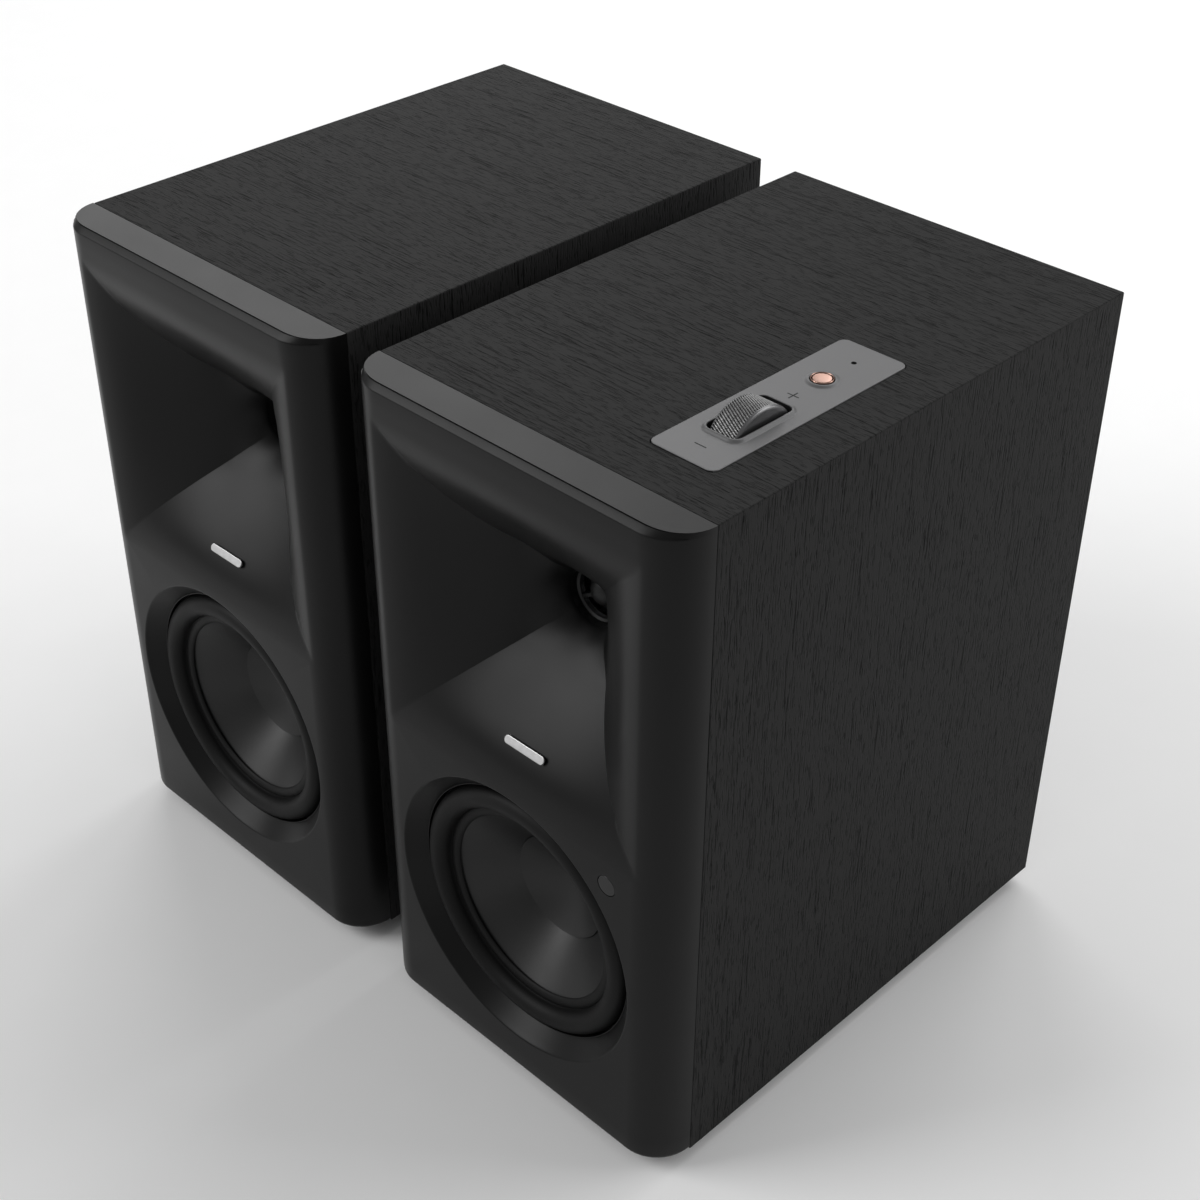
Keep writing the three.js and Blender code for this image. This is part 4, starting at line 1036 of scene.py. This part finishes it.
def makeScrew(side, x, y, z):
    head, tall, deep = screw["head"], screw["height"], screw["recess"]
    bm = bmesh.new()
    spun(bm, [(0, y + tall - deep), (1, y + tall - deep), (1, y + tall - 0.04)]
         + arc((0, y), (head, tall), 57, 8, 6) + [(head, y), (0, y)], x, z, 48)
    for vert in bm.verts:
        away = Vector((vert.co.x - x, vert.co.z - z))
        if abs(away.length - 1) < 0.01:
            lobe = 0.4 + 1.1 * abs(math.cos(2 * math.atan2(away.y, away.x))) ** 3  # the recess is a cross
            vert.co.x, vert.co.z = x + away.x * lobe, z + away.y * lobe
    name = f"{side}Screw_{round(x * 10)}_{round(z * 10)}".replace("-", "m")
    piece(bm, name, "screwSteel", side, f"{side}_speaker", sharp=40)


socketHoles = ("mains_inlet", "hdmi_socket", "optical_socket", "usb_socket")
roundHoles = {"input_jacks": (4.2, 2), "aux_jack": (3.6, 1), "subwoofer_jack": (4.2, 1),
              "right_link_socket": (9, 1)}  # radius of each barrel, and how many stand in a column


def makeAmpPlate(low, high):
    x, z = (low.x + high.x) / 2, (low.z + high.z) / 2
    loops = [(roundedLoop, (high.x - low.x, high.z - low.z, 5, x, z, 8))]
    for node in socketHoles:
        a, b = controlBox(node)
        middle = (a + b) / 2
        loops.append((roundedLoop, (b.x - a.x + 0.6, b.z - a.z + 0.6, 0.3, middle.x, middle.z, 2)))
    for node, (radius, count) in roundHoles.items():
        a, b = controlBox(node)
        spots = [(a.z + b.z) / 2] if count == 1 else [a.z + (b.x - a.x) / 2, b.z - (b.x - a.x) / 2]
        loops += [(circleLoop, (radius + 0.3, (a.x + b.x) / 2, spot, 32)) for spot in spots]
    a, b = controlBox("ground_post")
    loops.append((circleLoop, (2.3, (a.x + b.x) / 2, (a.z + b.z) / 2, 24)))
    for node in ("channel_switch", "level_switch"):
        a, b = controlBox(node)
        loops.append((roundedLoop, (8.6, 5, 0.3, (a.x + b.x) / 2 + 2, (a.z + b.z) / 2, 2)))
    bm = punchedPlate(loops, high.y, low.y, 0.5, 2)
    piece(bm, "ampPlate", "grainedPlastic", "right", "right_speaker", ["amp_plate"],
          modifiers=(evenNormals,))


def makeLinkPlate(low, high):
    loops = [(roundedLoop, (high.x - low.x, high.z - low.z, 5, 0, (low.z + high.z) / 2, 8)),
             (circleLoop, (9.3, 0, (low.z + high.z) / 2, 40))]
    bm = punchedPlate(loops, high.y, low.y, 0.5, 2)
    piece(bm, "linkPlate", "grainedPlastic", "left", "left_speaker", ["link_plate"],
          modifiers=(evenNormals,))


def makeJack(name, node, z, ringFinish, replaces, radius=4.2):
    low, high = controlBox(node)
    x, end = (low.x + high.x) / 2, high.y
    root = controlBox("amp_plate")[1]
    bm = bmesh.new()
    spun(bm, [(radius - 1.1, end - 0.4), (radius - 0.9, end), (radius - 0.15, end), (radius, end - 0.3),
              (radius, root.y + 1.4), (radius + 0.7, root.y + 1.2), (radius + 0.7, root.y + 0.02),
              (radius - 1.1, root.y + 0.02)], x, z, 48, closed=True)
    metal = "goldPlate" if radius > 4 else "grainedPlastic"
    piece(bm, name, metal, "right", "right_speaker", replaces, sharp=30)
    bm = bmesh.new()
    bore, rim = 1.7, radius - 1.15
    spun(bm, [(bore, end - 0.8), (rim, end - 0.7), (rim, root.y), (bore, root.y)], x, z, 40, closed=True)
    piece(bm, name + "Insulator", ringFinish, "right", "right_speaker", sharp=30)


def makeLinkSocket(side):
    low, high = localBox(side, f"{side}_link_socket")
    x, z, radius = (low.x + high.x) / 2, (low.z + high.z) / 2, (high.x - low.x) / 2
    floor = low.y + 4
    bm = bmesh.new()
    spun(bm, [(0, floor), (radius - 1.8, floor), (radius - 1.8, high.y - 0.3), (radius - 1.5, high.y),
              (radius - 0.3, high.y), (radius, high.y - 0.3), (radius, low.y), (0, low.y)], x, z, 56)
    for i in range(4):
        turn = (2 * i + 1) * math.pi / 4
        spun(bm, [(0, floor + 7.5), (0.6, floor + 7.5), (0.9, floor + 7.1), (0.9, floor - 1)],
             x + radius * 0.5 * math.cos(turn), z + radius * 0.5 * math.sin(turn), 12)
    piece(bm, f"{side}LinkSocket", "grainedPlastic", side, f"{side}_speaker", [f"{side}_link_socket"],
          sharp=40)


def makeNut():
    low, high = controlBox("ground_nut")
    x, z, radius = (low.x + high.x) / 2, (low.z + high.z) / 2, (high.x - low.x) / 2
    bm = bmesh.new()
    spun(bm, [(2.3, low.y), (radius - 0.5, low.y), (radius, low.y + 0.5), (radius, high.y - 0.6),
              (radius - 0.5, high.y), (2.6, high.y), (2.3, high.y - 0.3)], x, z, 120, closed=True)
    for vert in bm.verts:
        away = Vector((vert.co.x - x, vert.co.z - z))
        if away.length > radius - 0.05:
            turn = math.atan2(away.y, away.x)
            shrink = 1 - 0.03 * (0.5 + 0.5 * math.cos(30 * turn))
            vert.co.x, vert.co.z = x + away.x * shrink, z + away.y * shrink
    piece(bm, "groundNut", "goldPlate", "right", "nut", ["ground_nut"], sharp=50)


kept = {
    "painted_steel": "gunPaint", "bare_steel": "bareSteel", "ferrite": "ferrite", "coil": "windings",
    "circuit_board": "solderMask", "dome_film": "foil", "black_plastic": "grainedPlastic",
    "gold_plating": "goldPlate", "rubber": "rubberBlack", "moulding": "baffleBlack",
    "wood_wrap": "ashUpright", "cone_fibre": "conePulp", "spider_cloth": "spiderCloth",
    "bare_aluminium": "plugPlastic",
    "control_metal": "blastedGrey", "copper_finish": "blastedGrey", "light_lens": "lightLens",
    "smoked_lens": "smokedLens"}


def finishKeptNodes():
    slots = {part["node"]: part["material_slot"] for part in frame["record"]["subparts"]}
    for node, obj in frame["nodes"].items():
        for spot in obj.material_slots:
            spot.material = finishes[kept[slots[node]]]


addCamera()
for side in sides:
    makeCabinet(side)
    makeFeet(side)
    print(side, "cabinet")
    makeBaffle(side)
    makeWoofer(side)
    makePlug(side)
    print(side, "baffle and drivers")
    plateLow, plateHigh = makeRear(side, {"right": "amp_plate", "left": "link_plate"}[side])
    (makeAmpPlate if side == "right" else makeLinkPlate)(plateLow, plateHigh)
    makeLinkSocket(side)
    print(side, "back")
makeControlPlate()
makeButton()
makeWheel()
makeWindow()
jackLow, jackHigh = controlBox("input_jacks")
jackHalf = (jackHigh.x - jackLow.x) / 2
makeJack("inputJackLower", "input_jacks", jackLow.z + jackHalf, "signalRed", ["input_jacks"])
makeJack("inputJackUpper", "input_jacks", jackHigh.z - jackHalf, "signalWhite", ())
subLow, subHigh = controlBox("subwoofer_jack")
makeJack("subwooferJack", "subwoofer_jack", (subLow.z + subHigh.z) / 2, "markBlack", ["subwoofer_jack"])
auxLow, auxHigh = controlBox("aux_jack")
makeJack("auxJack", "aux_jack", (auxLow.z + auxHigh.z) / 2, "signalWhite", ["aux_jack"], 3.6)
makeNut()
finishKeptNodes()
print("controls and sockets")

bpy.ops.mesh.primitive_plane_add(size=studio["floor"], location=(0, 0, 0))
floor = bpy.context.object
floor.name = "floor"
floorFinish = Finish("floorPaper", Roughness=0.9, Specular_IOR_Level=0.0)
speckle = floorFinish.noise(floorFinish.place(), 30, 3)
floor.data.materials.append(floorFinish.wear(Base_Color=floorFinish.mix(speckle, grey(0.91), grey(0.93))))
world = bpy.data.worlds.new("studio")
bpy.context.scene.world = world
world.use_nodes = True
world.node_tree.nodes["Background"].inputs["Color"].default_value = (1, 1, 1, 1)
world.node_tree.nodes["Background"].inputs["Strength"].default_value = studio["world"]
for name, (place, watts) in studio["lamps"].items():
    addLight(name, place, (0, 0, 0.15), studio["lampSize"], watts)
bpy.context.scene.view_settings.view_transform = "Standard"
